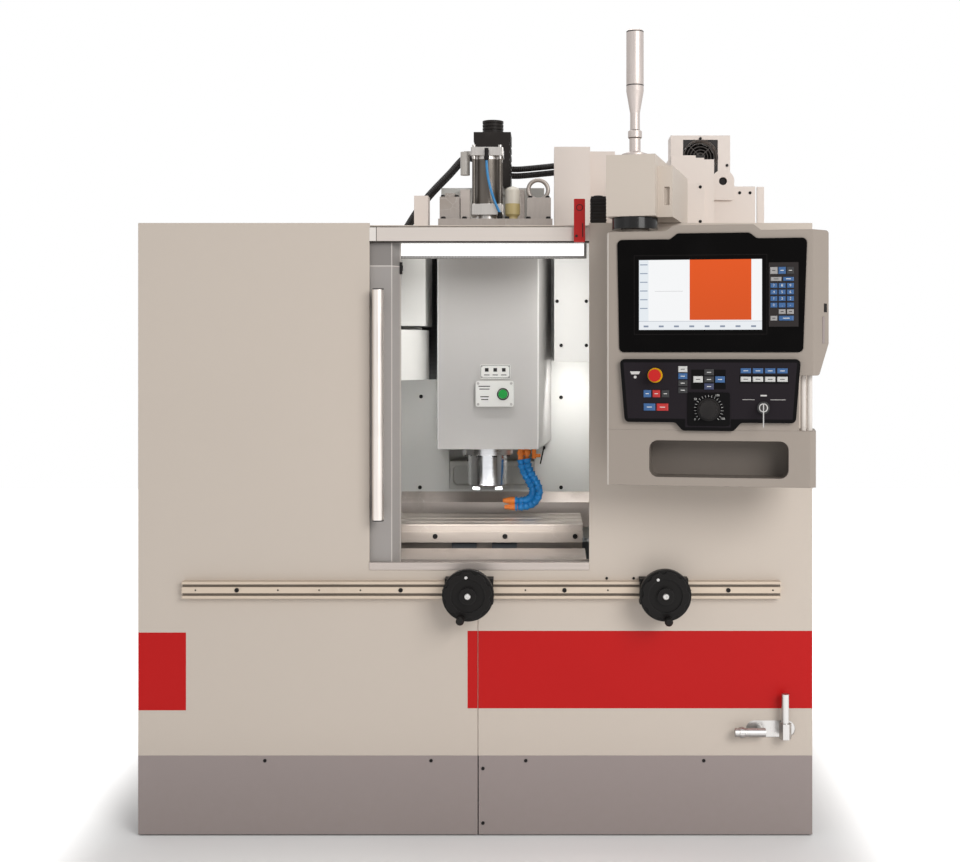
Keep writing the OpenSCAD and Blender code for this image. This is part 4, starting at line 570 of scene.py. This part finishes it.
# growing pieces with Geometry Nodes
class Grower(Tree):
    family = "GeometryNode"
    kinds = {float: "Float", int: "Int", tuple: "Vector"}

    def __init__(self, name, **sizes):
        group = bpy.data.node_groups.new(name, "GeometryNodeTree")
        super().__init__(group)
        self.socket("Geometry", "Geometry")
        for key, value in sizes.items():
            self.socket(key, self.kinds[type(value)]).default_value = value
        self.socket("Material", "Material")
        self.socket("Geometry", "Geometry", "OUTPUT")
        self.given = {s.name: Val(self, s) for s in group.nodes.new("NodeGroupInput").outputs if s.name}

    def socket(self, name, kind, side="INPUT"):
        return self.tree.interface.new_socket(name, in_out=side, socket_type="NodeSocket" + kind)

    def named(self, name):
        return self.node("InputNamedAttribute", {"Name": name}, data_type="FLOAT_VECTOR")[0]

    def index(self):
        return self.node("InputIndex")[0]

    def vector(self, x=0.0, y=0.0, z=0.0):
        return self.node("ShaderNodeCombineXYZ", {0: x, 1: y, 2: z})[0]

    def turn(self, vector):
        return self.node("FunctionNodeEulerToRotation", {0: vector})[0]

    def aimed(self):  # turned to the point's own facing
        return self.node("FunctionNodeAlignRotationToVector", {"Vector": self.named("facing")}, axis="Z")[0]

    def box(self, *size):
        return self.node("MeshCube", {"Size": self.vector(*size)})[0]

    def cylinder(self, sides, radius, depth):
        return self.node("MeshCylinder", {"Vertices": sides, "Radius": radius, "Depth": depth}, fill_type="NGON")

    def circle(self, sides, radius):
        return self.node("CurvePrimitiveCircle", {"Resolution": sides, "Radius": radius}, mode="RADIUS")[0]

    def line(self, count, start=(0, 0, 0), step=(0, 0, 0)):
        return self.node("MeshLine", {"Count": count, "Start Location": start, "Offset": step})[0]

    def raised(self, shape, faces, height):
        return self.node("ExtrudeMesh", {"Mesh": shape, "Selection": faces, "Offset Scale": height}, mode="FACES")

    def narrowed(self, shape, faces, scale):
        return self.node("ScaleElements", {"Geometry": shape, "Selection": faces, "Scale": scale})[0]

    def moved(self, shape, **sockets):
        return self.node("Transform", {"Geometry": shape, **sockets})[0]

    def scatter(self, points, shape, **sockets):  # the shape on each point
        return self.node("InstanceOnPoints", {"Points": points, "Instance": shape, **sockets})[0]

    def join(self, shapes):
        made = self.node("JoinGeometry")[0]
        for shape in shapes:
            self.tree.links.new(shape.socket, made.socket.node.inputs[0])
        return made

    def sweep(self, route, section):
        return self.node("CurveToMesh", {"Curve": route, "Profile Curve": section, "Fill Caps": True})[0]

    def end(self, shape):
        real = self.node("RealizeInstances", {0: shape})[0]
        done = self.node("SetMaterial", {0: real, 2: self.given["Material"]})[0]
        self.tree.links.new(done.socket, self.tree.nodes.new("NodeGroupOutput").inputs[0])

    def grow(self, name, body, material, seed=None, slot=None, smooth=False, **sizes):
        holder = added(name + "Seed", seed or bpy.data.meshes.new(name + "Seed"))
        modifier = holder.modifiers.new("grow", "NODES")
        modifier.node_group = self.tree
        sizes["Material"] = finishes[material]
        for item in self.tree.interface.items_tree:
            if item.in_out == "INPUT" and item.name in sizes:
                modifier[item.identifier] = sizes[item.name]
        mesh = bpy.data.meshes.new_from_object(holder.evaluated_get(bpy.context.evaluated_depsgraph_get()))
        holder.modifiers.remove(modifier)
        bpy.data.objects.remove(holder)
        return place(name, mesh, body, slot, smooth)


def place(name, mesh, body, slot=None, smooth=False):
    piece = added(name, mesh)
    mesh.polygons.foreach_set("use_smooth", [smooth] * len(mesh.polygons))
    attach(piece, body)
    return piece


def settle(name, made, body, material, slot):  # a gathered mesh as a piece
    mesh = bpy.data.meshes.new(name)
    made.to_mesh(mesh)
    made.free()
    mesh.materials.append(finishes[material])
    return place(name, mesh, body, slot)


def dots(points, **vectors):  # a mesh of loose points that carry vectors or colours
    mesh = bpy.data.meshes.new("dots")
    mesh.from_pydata([tuple(p) for p in points], [], [])
    for key, values in vectors.items():
        kind, slot = ("FLOAT_COLOR", "color") if len(values[0]) == 4 else ("FLOAT_VECTOR", "vector")
        mesh.attributes.new(key, kind, "POINT").data.foreach_set(slot, [c for v in values for c in v])
    return mesh


def grid(xs, depths, heights):
    return [(x, d, z) for x in xs for d in depths for z in heights]


# screw heads with a socket, one point each, turned to their face
screwTree = Grower("screwHeads", Sides=18, Bevel=0.78, Socket=0.55, Sunk=-0.55)
t, g = screwTree, screwTree.given
head = t.cylinder(g["Sides"], 1.0, 0.65)
lift = t.raised(head[0], head[1], 0.35)
dome = t.narrowed(lift[0], lift[1], g["Bevel"])
rim = t.raised(dome, lift[1], 0.001)
well = t.narrowed(rim[0], rim[1], g["Socket"])
sunk = t.raised(well, rim[1], g["Sunk"])[0]
seated = t.moved(sunk, Translation=(0, 0, 0.325))
t.end(t.scatter(g["Geometry"], seated, Rotation=t.aimed(), Scale=t.named("headSize")))
out, back, up = (0, -1, 0), (0, 1, 0), (0, 0, 1)
steelScrew = {"material": "brightSteel", "slot": "steel"}


def screws(name, body, groups, material="blackMatte", slot="black_plastic", **sizes):
    # groups of places, facing, radius and height, in millimetres
    rows = [(at(*spot), facing, (radius * mm, radius * mm, height * mm))
            for spots, facing, radius, height in groups for spot in spots]
    points, facings, headSizes = zip(*rows)
    return screwTree.grow(name, body, material, dots(points, facing=facings, headSize=headSizes), slot, **sizes)


rail = {"face": -25, "z": 733, "firstX": -823.5, "pitch": 121.6, "holes": 15, "screwed": (1, 5, 9, 13)}
frontPiece = screws("frontScrews", "frame", [
    (grid((-701.5, -218.5, 264.5, 747.5), (rail["face"],), (rail["z"],)), out, 6.5, 5),
    (grid((-624, -131, 150, 678), (0,), (223,)), out, 5, 3), (grid((23,), (0,), (38, 200)), out, 5, 3),
    (grid((390, 470), (0,), (764,)), out, 4, 3)])
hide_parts("fasteners")
screws("guardScrews", "frame", [
    ([(x, 890, z) for x, z in (
        (-248, 1272), (-252, 941), (262, 1269), (262, 941), (-500, 1272), (-500, 941),
        (560, 1269), (560, 941))], out, 7, 5),
    ([(x, 600, z) for x, z in ((246, 1608), (260, 1457), (346, 1608), (346, 1457))], out, 6, 4)])
screws("roofScrews", "frame", [
    ([(x, 700, z) for x, z in ((748, 2181), (841, 2087), (655, 2087))], out, 5, 4),
    ([(x, 400, z) for x, z in ((842, 1955), (876, 1955), (876, 1835))], out, 5, 3),
    ([(x, 284, z) for z in (1960, 1850) for x in (622, 700)], out, 5, 3)])
screws("tableScrews", "table", [(grid((-145, 78, 302), (300,), (846,)), out, 8, 5)])
screws("plateScrews", "head", [
    (grid((-13, 95), (396,), (1264, 1332)), out, 4.2, 2.4),
    (grid((-2, 86), (416,), (1353, 1387)), out, 2.6, 1.6)], **steelScrew)
screws("topScrews", "head", [
    (grid((-136, -90), (490, 536), (1952,)), up, 7, 7), (grid((156, 214), (490, 536), (1949,)), up, 7, 7),
    (grid((-130, -60, 80, 150, 216), (434,), (1873,)), up, 8, 8)])
screws("rearScrews", "frame", [
    (grid((-980, -690, -400, -110, 30), (1400,), (60, 400, 900, 1400, 1790)), back, 6, 4)], **steelScrew)
screws("cabinetScrews", "cabinet_door", [
    (grid((75, 930), (1765,), (325, 680, 1420, 1755)), back, 6, 4)], **steelScrew)
hub = {"z": 730, "face": -112, "dotFace": -104}
for name, body, x, dotX, dotZ in (
        ("leftHubScrew", "left_handwheel", -16, -21, 783), ("rightHubScrew", "right_handwheel", 556, 534, 777)):
    screws(name, body, [([(x, hub["face"], hub["z"])], out, 9, 6), ([(dotX, hub["dotFace"], dotZ)], out, 4.5, 2)],
           Sides=24, **steelScrew)
holeX = [rail["firstX"] + rail["pitch"] * i for i in range(rail["holes"]) if i not in rail["screwed"]]
screws("railHoles", "frame", [(grid(holeX, (rail["face"],), (rail["z"],)), out, 2.6, 0.5)], Socket=0.7)
print("screws grown")

# louvres: a column of bent slats
louvreTree = Grower("louvres", Count=10, Pitch=0.04, Long=0.5, Deep=0.012, Thick=0.0025, Lean=0.6,
                    Place=(0.0, 0.0, 0.0))
t, g = louvreTree, louvreTree.given
slat = t.box(g["Long"], g["Deep"], g["Thick"])
tilted = t.moved(slat, Rotation=t.turn(t.vector(g["Lean"])))
column = t.line(g["Count"], g["Place"], t.vector(z=g["Pitch"]))
t.end(t.scatter(column, tilted))
louvres = {"Pitch": 0.042, "Deep": 0.014, "Thick": 0.0025, "Lean": -0.75}
for name, body, count, long, spot in (
        ("cabinetLouvres", "cabinet_door", 9, 0.42, at(420, 1770, 420)),
        ("cabinetTopLouvres", "cabinet_door", 7, 0.42, at(420, 1770, 1420)),
        ("rearLouvres", "frame", 12, 0.5, at(-520, 1405, 1150))):
    louvreTree.grow(name, body, "beigePaint", None, "beige_paint", Count=count, Long=long, Place=spot, **louvres)

# guard rings before and behind the fan
fan = {"x": 748, "z": 2116, "front": 697, "back": 803}
ringTree = Grower("guardRings", Count=5, First=0.014, Pitch=0.011, Wire=0.0014, Spoke=0.062, Place=(0.0, 0.0, 0.0))
t, g = ringTree, ringTree.given
index = t.index()
reach = g["First"] + g["Pitch"] * index
loops = t.scatter(t.line(g["Count"]), t.circle(40, 1.0), Scale=t.vector(reach, reach, 1.0))
bar = t.node("CurvePrimitiveLine", {"Start": (0, 0, 0), "End": t.vector(g["Spoke"])})[0]
quarter = t.turn(t.vector(z=0.785 + 1.5708 * index))
spokes = t.scatter(t.line(4), bar, Rotation=quarter)
wires = t.node("RealizeInstances", {0: t.join((loops, spokes))})[0]
solid = t.sweep(wires, t.circle(8, g["Wire"]))
t.end(t.moved(solid, Translation=g["Place"], Rotation=t.turn((math.pi / 2, 0, 0))))
for name, metal, depth in (("fanGuard", "wireGrey", fan["front"]), ("fanGuardBack", "brightSteel", fan["back"])):
    ringTree.grow(name, "frame", metal, None, "steel", smooth=True, Place=at(fan["x"], depth, fan["z"]))
print("louvres and fan guards grown")

# key caps: a point each, with its size and colour
capTree = Grower("keyCaps", Top=0.84, Turn=(math.pi / 2, 0.0, 0.0))
t, g = capTree, capTree.given
topOnly = t.node("ShaderNodeSeparateXYZ", {0: t.node("InputNormal")[0]})[2] > 0.5
cap = t.raised(t.box(1, 1, 0.6), topOnly, 0.4)
seated = t.moved(t.narrowed(cap[0], cap[1], g["Top"]), Translation=(0, 0, 0.3))
t.end(t.scatter(g["Geometry"], seated, Rotation=t.turn(g["Turn"]), Scale=t.named("capSize")))
keyColours = {"blue": tone(44, 88, 138), "grey": tone(150, 148, 148), "black": tone(24, 24, 26),
              "red": tone(176, 30, 28), "pale": tone(196, 196, 194), "navy": tone(44, 52, 84)}
padFace, lowFace = -116, -126
pad = {"x": 392, "stepX": 22.3, "z": 1617.6, "stepZ": 17.9, "size": (18.6, 13.2)}
padX = [pad["x"] + pad["stepX"] * i for i in range(3)]
padZ = [pad["z"] - pad["stepZ"] * k for k in range(4)]
# rows of x, z, width, height, face and colour
keys = [(x, 1658.8, 20, 19, padFace, c) for x, c in zip(padX, ("grey", "blue", "black"))]
keys += [(398 + 33.45 * i, 1635.5, 29, 11, padFace, c) for i, c in enumerate(("grey", "blue"))]
keys += [(x, z, *pad["size"], padFace, "blue") for x in padX for z in padZ]
keys += [(x, 1546, *pad["size"], padFace, "grey") for x in padX[1:]]
keys += [(pad["x"], 1528.1, *pad["size"], padFace, "grey"), (425.45, 1528.1, 40, 13.2, padFace, "blue")]
keys += [(46 + 25 * i, 1320, 21, 20, lowFace, c) for i, c in enumerate(("blue", "red", "black"))]
keys += [(52 + 36 * i, 1283, 32, 20, lowFace, c) for i, c in enumerate(("blue", "red"))]
keys += [(144, 1388 - 19.3 * k, 25, 16.5, lowFace, c) for k, c in enumerate(("pale", "blue", "black", "black"))]
keys += [(216 + a, 1360 + b, 26, 17.5, lowFace, c) for a, b, c in (
    (0, 0, "black"), (-30, 0, "pale"), (30, 0, "blue"), (0, 19.5, "black"), (0, -19.5, "navy"))]
keys += [(316 + 33 * i, 1384 - 23 * k, 28, 14, lowFace, ("blue", "pale")[k]) for i in range(4) for k in range(2)]
faceOut = (math.pi / 2, 0, swivel["turn"])  # towards the operator
capSeed = dots([onConsole(x, y, z) for x, z, w, h, y, c in keys],
               capSize=[(w * mm, h * mm, 3 * mm) for x, z, w, h, y, c in keys],
               capColour=[keyColours[c] for x, z, w, h, y, c in keys])
keyPiece = capTree.grow("keyCaps", "console", "keyPlastic", capSeed, "black_plastic", Turn=faceOut)
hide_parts("console_keys")
pale = ("grey", "pale")
marked = [k for k in keys if not (k[4] == padFace and 1555 < k[1] < 1630)]  # the digit keys carry digits
for name, finish, slot, rows in (
        ("keyMarks", "markWhite", "white_paint", [k for k in marked if k[5] not in pale]),
        ("keyDarkMarks", "markDark", "black_plastic", [k for k in marked if k[5] in pale])):
    markSeed = dots([onConsole(x, y - 2.9, z) for x, z, w, h, y, c in rows],
                    capSize=[(w * 0.45 * mm, 2.0 * mm, 0.3 * mm) for x, z, w, h, y, c in rows])
    capTree.grow(name, "console", finish, markSeed, slot, Turn=faceOut)


def numerals(name, size, rows):  # rows of text and place on the console
    gathered = bmesh.new()
    for text, spot in rows:
        curve = bpy.data.curves.new("numeral", "FONT")
        curve.body, curve.size, curve.align_x, curve.align_y, curve.extrude = text, size, "CENTER", "CENTER", 0.00012
        holder = added("numeral", curve)
        mesh = bpy.data.meshes.new_from_object(holder.evaluated_get(bpy.context.evaluated_depsgraph_get()))
        bpy.data.objects.remove(holder)
        mesh.transform(Matrix.Translation(spot) @ upright)
        gathered.from_mesh(mesh)
    return settle(name, gathered, "console", "markWhite", "white_paint")


upright = Matrix.Rotation(swivel["turn"], 4, "Z") @ Matrix.Rotation(math.pi / 2, 4, "X")
padText = iter("7410852.963-")  # down each column
numerals("keyDigits", 0.010, [(next(padText), onConsole(x, padFace - 3, z)) for x in padX for z in padZ])

# dial marks round the override knob
dial = {"x": 215, "z": 1277, "face": -129.2, "reach": 46}
tickTree = Grower("dialTicks", Count=21, Start=-2.356, Step=0.2356, Reach=0.037, Wide=0.0009, Long=0.006,
                  Thick=0.0004, Place=(0.0, 0.0, 0.0), Turn=(0.0, 0.0, 0.0))
t, g = tickTree, tickTree.given
tick = t.moved(t.box(g["Wide"], g["Long"], g["Thick"]), Translation=t.vector(y=g["Reach"]))
angle = t.turn(t.vector(z=g["Start"] + g["Step"] * t.index()))
ticks = t.scatter(t.line(g["Count"]), tick, Rotation=angle)
t.end(t.moved(ticks, Translation=g["Place"], Rotation=t.turn(g["Turn"])))
tickTree.grow("dialTicks", "console", "markWhite", None, "white_paint",
              Place=onConsole(dial["x"], dial["face"], dial["z"]), Turn=faceOut)
dialRows = []
for text, a in (("0", -2.2), ("50", -0.9), ("100", 0.55), ("150", 2.15)):
    dialX, dialZ = dial["x"] + dial["reach"] * math.sin(a), dial["z"] + dial["reach"] * math.cos(a)
    dialRows.append((text, onConsole(dialX, dial["face"], dialZ)))
numerals("dialNumbers", 0.008, dialRows)
print("keys, digits and dial grown")

# hoses of the upper motor and the air tube: round tubes along given routes
tubeTree = Grower("routedTubes", Radius=0.011, Sides=16)
t, g = tubeTree, tubeTree.given
route = t.node("MeshToCurve", {"Mesh": g["Geometry"]})[0]
along = {"Geometry": route, "Name": "along", "Value": t.node("SplineParameter")[1]}
tagged = t.node("StoreNamedAttribute", along, data_type="FLOAT", domain="POINT")[0]
t.end(t.sweep(tagged, t.circle(g["Sides"], g["Radius"])))


def eased(points, steps=8):  # a smooth line through given points
    made = []
    for i in range(len(points) - 1):
        a, b = points[max(i - 1, 0)], points[i]
        c, d = points[i + 1], points[min(i + 2, len(points) - 1)]
        for k in range(steps):
            t = k / steps
            square, cube = 2 * a - 5 * b + 4 * c - d, 3 * b - a - 3 * c + d
            made.append(0.5 * (2 * b + (c - a) * t + square * t * t + cube * t ** 3))
    return made + [points[-1]]


def lengthOf(line):
    return sum((b - a).length for a, b in zip(line, line[1:]))


def runTube(name, body, points, radius, material, slot):
    line = eased(points)
    seed = bpy.data.meshes.new(name)
    seed.from_pydata([tuple(p) for p in line], [(i, i + 1) for i in range(len(line) - 1)], [])
    piece = tubeTree.grow(name, body, material, seed, slot, True, Radius=radius)
    lengthOf(line)
    return piece


motorHoses = {
    "radius": 0.011, "pitch": 25, "leftDepth": 946,
    "left": ((-58, 2150), (-95, 2150), (-150, 2092), (-236, 2000), (-304, 1900), (-326, 1850), (-326, 1815)),
    "right": ((78, 1000, 2090), (112, 1000, 2090), (190, 992, 2096), (250, 958, 2098), (270, 920, 2098),
              (270, 890, 2098))}
hoseRoutes = {}
for k in range(3):
    depth = motorHoses["leftDepth"] + motorHoses["pitch"] * k
    hoseRoutes[f"leftMotorHose{k + 1}"] = [at(x, depth, z) for x, z in motorHoses["left"]]
for k in range(2):
    hoseRoutes[f"rightMotorHose{k + 1}"] = [at(x, d, z + motorHoses["pitch"] * k) for x, d, z in motorHoses["right"]]
for name, points in hoseRoutes.items():
    piece = runTube(name, "frame", points, motorHoses["radius"], "hoseRubber", "rubber")
    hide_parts("motor_cables")
print("hoses laid")

# coolant hose: ball-and-socket links along its bend
linkTree = Grower("hoseLinks", Ball=0.0104, Socket=0.0132, Neck=0.008)
t, g = linkTree, linkTree.given
cone = {"Vertices": 16, "Side Segments": 1, "Radius Top": g["Ball"], "Radius Bottom": g["Socket"], "Depth": 0.013}
shell = t.node("MeshCone", cone, fill_type="NGON")[0]
collar = t.cylinder(16, g["Socket"] * 1.06, 0.0035)[0]
neck = t.cylinder(16, g["Neck"], 0.02)[0]
ball = t.node("MeshUVSphere", {"Segments": 16, "Rings": 8, "Radius": g["Ball"]})[0]
link = t.join([t.moved(shape, Translation=(0, 0, height)) for shape, height in (
    (shell, 0.0), (collar, 0.001), (neck, 0.008), (ball, 0.016))])
t.end(t.scatter(g["Geometry"], link, Rotation=t.aimed()))
hoseBend = {"from": (144, 540, 1073), "count": 13, "twin": 0.021, "points": (
    (0, 0, 0), (4, -3, -22), (12, -6, -42), (23, -10, -61), (34, -14, -80), (41, -18, -101), (39, -21, -123),
    (27, -24, -142), (9, -26, -153), (-13, -28, -158), (-35, -30, -158))}
hoseLine = eased([at(*(a + b for a, b in zip(hoseBend["from"], p))) for p in hoseBend["points"]])
walk, spots = 0.0, []
spacing = lengthOf(hoseLine) / hoseBend["count"]
for a, b in zip(hoseLine, hoseLine[1:]):
    walk += (b - a).length
    if walk >= spacing * len(spots):
        spots.append((a, (b - a).normalized()))
# the twin run lies inside the bend
inner = [(spot + hoseBend["twin"] * Vector((run.z, 0.15, -run.x)), run) for spot, run in spots]
for name, rows in (("coolantTwin", inner), ("coolantLinks", spots)):
    seed = dots([r[0] for r in rows], facing=[r[1] for r in rows])
    linkTree.grow(name, "head", "linkBlue", seed, "blue_plastic", smooth=True)
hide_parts("coolant_hose")
print("coolant hose linked:", len(spots))

# air tube between two black fittings
airRun = {"from": (10, 488, 2076), "over": (10, 488, 1990), "to": (54, 488, 1899), "radius": 0.0043, "steps": 8}
airPoints = []
for k in range(airRun["steps"] + 1):
    t = k / airRun["steps"]
    blend = zip(airRun["from"], airRun["over"], airRun["to"])
    airPoints.append(at(*((1 - t) ** 2 * a + 2 * t * (1 - t) * b + t * t * c for a, b, c in blend)))
airPiece = runTube("airTube", "head", airPoints, airRun["radius"], "tubeBlue", "blue_plastic")
frontFrame = Matrix.Translation((0, frontY, 0))


def circleOf(count):
    return [math.tau * k / count for k in range(count)]


def bits(name, body, rows, material="blackMatte", slot="black_plastic", spot=frontFrame):
    # boxes, rods and rings in millimetres, as one piece
    made = bmesh.new()
    for kind, *spec in rows:
        if kind == "box":
            low, high = Vector(spec[0::2]), Vector(spec[1::2])
            size = Matrix.Diagonal((high - low)[:] + (1,))
            bmesh.ops.create_cube(made, size=1, matrix=Matrix.Translation((low + high) / 2) @ size)
        elif kind == "rod":
            start, stop, radius = Vector(spec[0]), Vector(spec[1]), spec[2]
            tip = spec[3] if len(spec) > 3 else radius
            aim = (stop - start).to_track_quat("Z", "Y").to_matrix().to_4x4()
            bmesh.ops.create_cone(made, cap_ends=True, segments=28, radius1=radius, radius2=tip,
                                  depth=(stop - start).length, matrix=Matrix.Translation((start + stop) / 2) @ aim)
        else:
            (x, y, z), radius, wire = spec
            loops = []
            for a in circleOf(36):
                tube = [(radius + wire * math.cos(b), wire * math.sin(b)) for b in circleOf(8)]
                loops.append([made.verts.new((x + r * math.cos(a), y + h, z + r * math.sin(a))) for r, h in tube])
            for i in range(36):
                for k in range(8):
                    made.faces.new((loops[i - 1][k - 1], loops[i][k - 1], loops[i][k], loops[i - 1][k]))
    sharp = [e for e in made.edges if e.calc_face_angle(0) > 1.0]
    bmesh.ops.bevel(made, geom=sharp, offset=0.5, segments=2, affect="EDGES", clamp_overlap=True)
    bmesh.ops.recalc_face_normals(made, faces=made.faces[:])
    made.transform(spot @ Matrix.Scale(mm, 4))
    return settle(name, made, body, material, slot)


airFittings = bits("airElbows", "head", [
    ("rod", (10, 486, 2108), (10, 506, 2108), 7), ("rod", (10, 488, 2074), (10, 488, 2115), 7),
    ("rod", (10, 488, 2080), (10, 488, 2088), 9), ("rod", (54, 488, 1873), (54, 488, 1901), 7),
    ("rod", (54, 488, 1880), (54, 488, 1887), 9)])
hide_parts("air_tube")
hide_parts("air_tube")
bits("fanFilter", "frame", [("rod", (fan["x"], 793, fan["z"]), (fan["x"], 796, fan["z"]), 61.5)]
     + [("ring", (fan["x"], 792.5, fan["z"]), r, 1.2) for r in (15, 27, 39, 51)])
bits("cableGland", "frame", [("box", 354, 402, 332, 382, 1817, 1936)]
     + [("box", 352, 404, 330, 384, z, z + 5) for z in range(1824, 1932, 11)]
     + [("rod", (378, 357, 1934), (378, 357, 1940), 15)])
bits("lugEye", "frame", [("rod", (786, 394, 1992), (786, 399.6, 1992), 12.9), ("ring", (786, 393.6, 1992), 9, 1)])
bits("switchMarks", "frame", [
    ("ring", (309, -16, 1862), 9, 1.1), ("box", 317, 320, -16.6, -15.5, 1774, 1816),
    ("rod", (300, -16, 1778), (300, -18, 1778), 4)])
bits("doorLatch", "door", [("box", -229, -222, 46, 58, 1669, 1705), ("box", -226, -220, 50, 54, 1679, 1695)])
tail, aim = (inner[-1][0] - at(0, 0, 0)) / mm, inner[-1][1]
tailEnd = tail + 14 * aim
bits("twinNozzle", "head", [
    ("rod", (123, 541, 1068), (123, 541, 1116), 9.5), ("rod", (123, 541, 1088), (123, 541, 1098), 12.5),
    ("rod", tailEnd - 6 * aim, tailEnd + 8 * aim, 12.6), ("rod", tailEnd + 8 * aim, tailEnd + 34 * aim, 12.6, 6.2)],
     "fittingOrange", "orange_plastic")
bits("tapLever", "head", [
    ("rod", (202, 541, 1117), (189, 541, 1056), 2.2), ("rod", (203, 541, 1116), (201, 541, 1106), 4)])
film = (415.5, 416.2)  # depths of the printed label
labelRows = [("box", -6, 90, *film, z, z + 1.4) for z in (1349.5, 1389)]
labelRows += [("box", x, x + 1.4, *film, 1350, 1390) for x in (-6, 88.6)]
for x in (14, 42, 70):
    labelRows += [("box", x - 6, x + 6, *film, 1370, 1382), ("box", x - 9, x + 9, *film, 1358, 1360.5)]
bits("labelMarks", "head", labelRows, "markDark")
buttonRows = [("box", -12 + 3 * k, 26 - 2 * k, 395.5, 396.2, z, z + 3) for k, z in enumerate((1321, 1312, 1287, 1278))]
bits("buttonMarks", "head", buttonRows + [("ring", (68, 395.6, 1297), 18, 1.8)], "markDark")
sideFrame = consoleFrame @ Matrix.Translation((0.5322, -0.0738, 1.557)) @ Matrix.Rotation(math.radians(48), 4, "Z")
bits("sidePort", "console", [("box", -6, 6, -1.4, 2, -12, 12), ("box", -3, 3, -2.2, 1, -8, 8)], spot=sideFrame)
bits("sideStrip", "console", [("box", -13, -3, -1.2, 1, -98, -24), ("box", -12, -4, -1.6, 1, -96, -26)],
     "skirtPaint", "warm_grey_paint", sideFrame)
print("fittings and marks added")
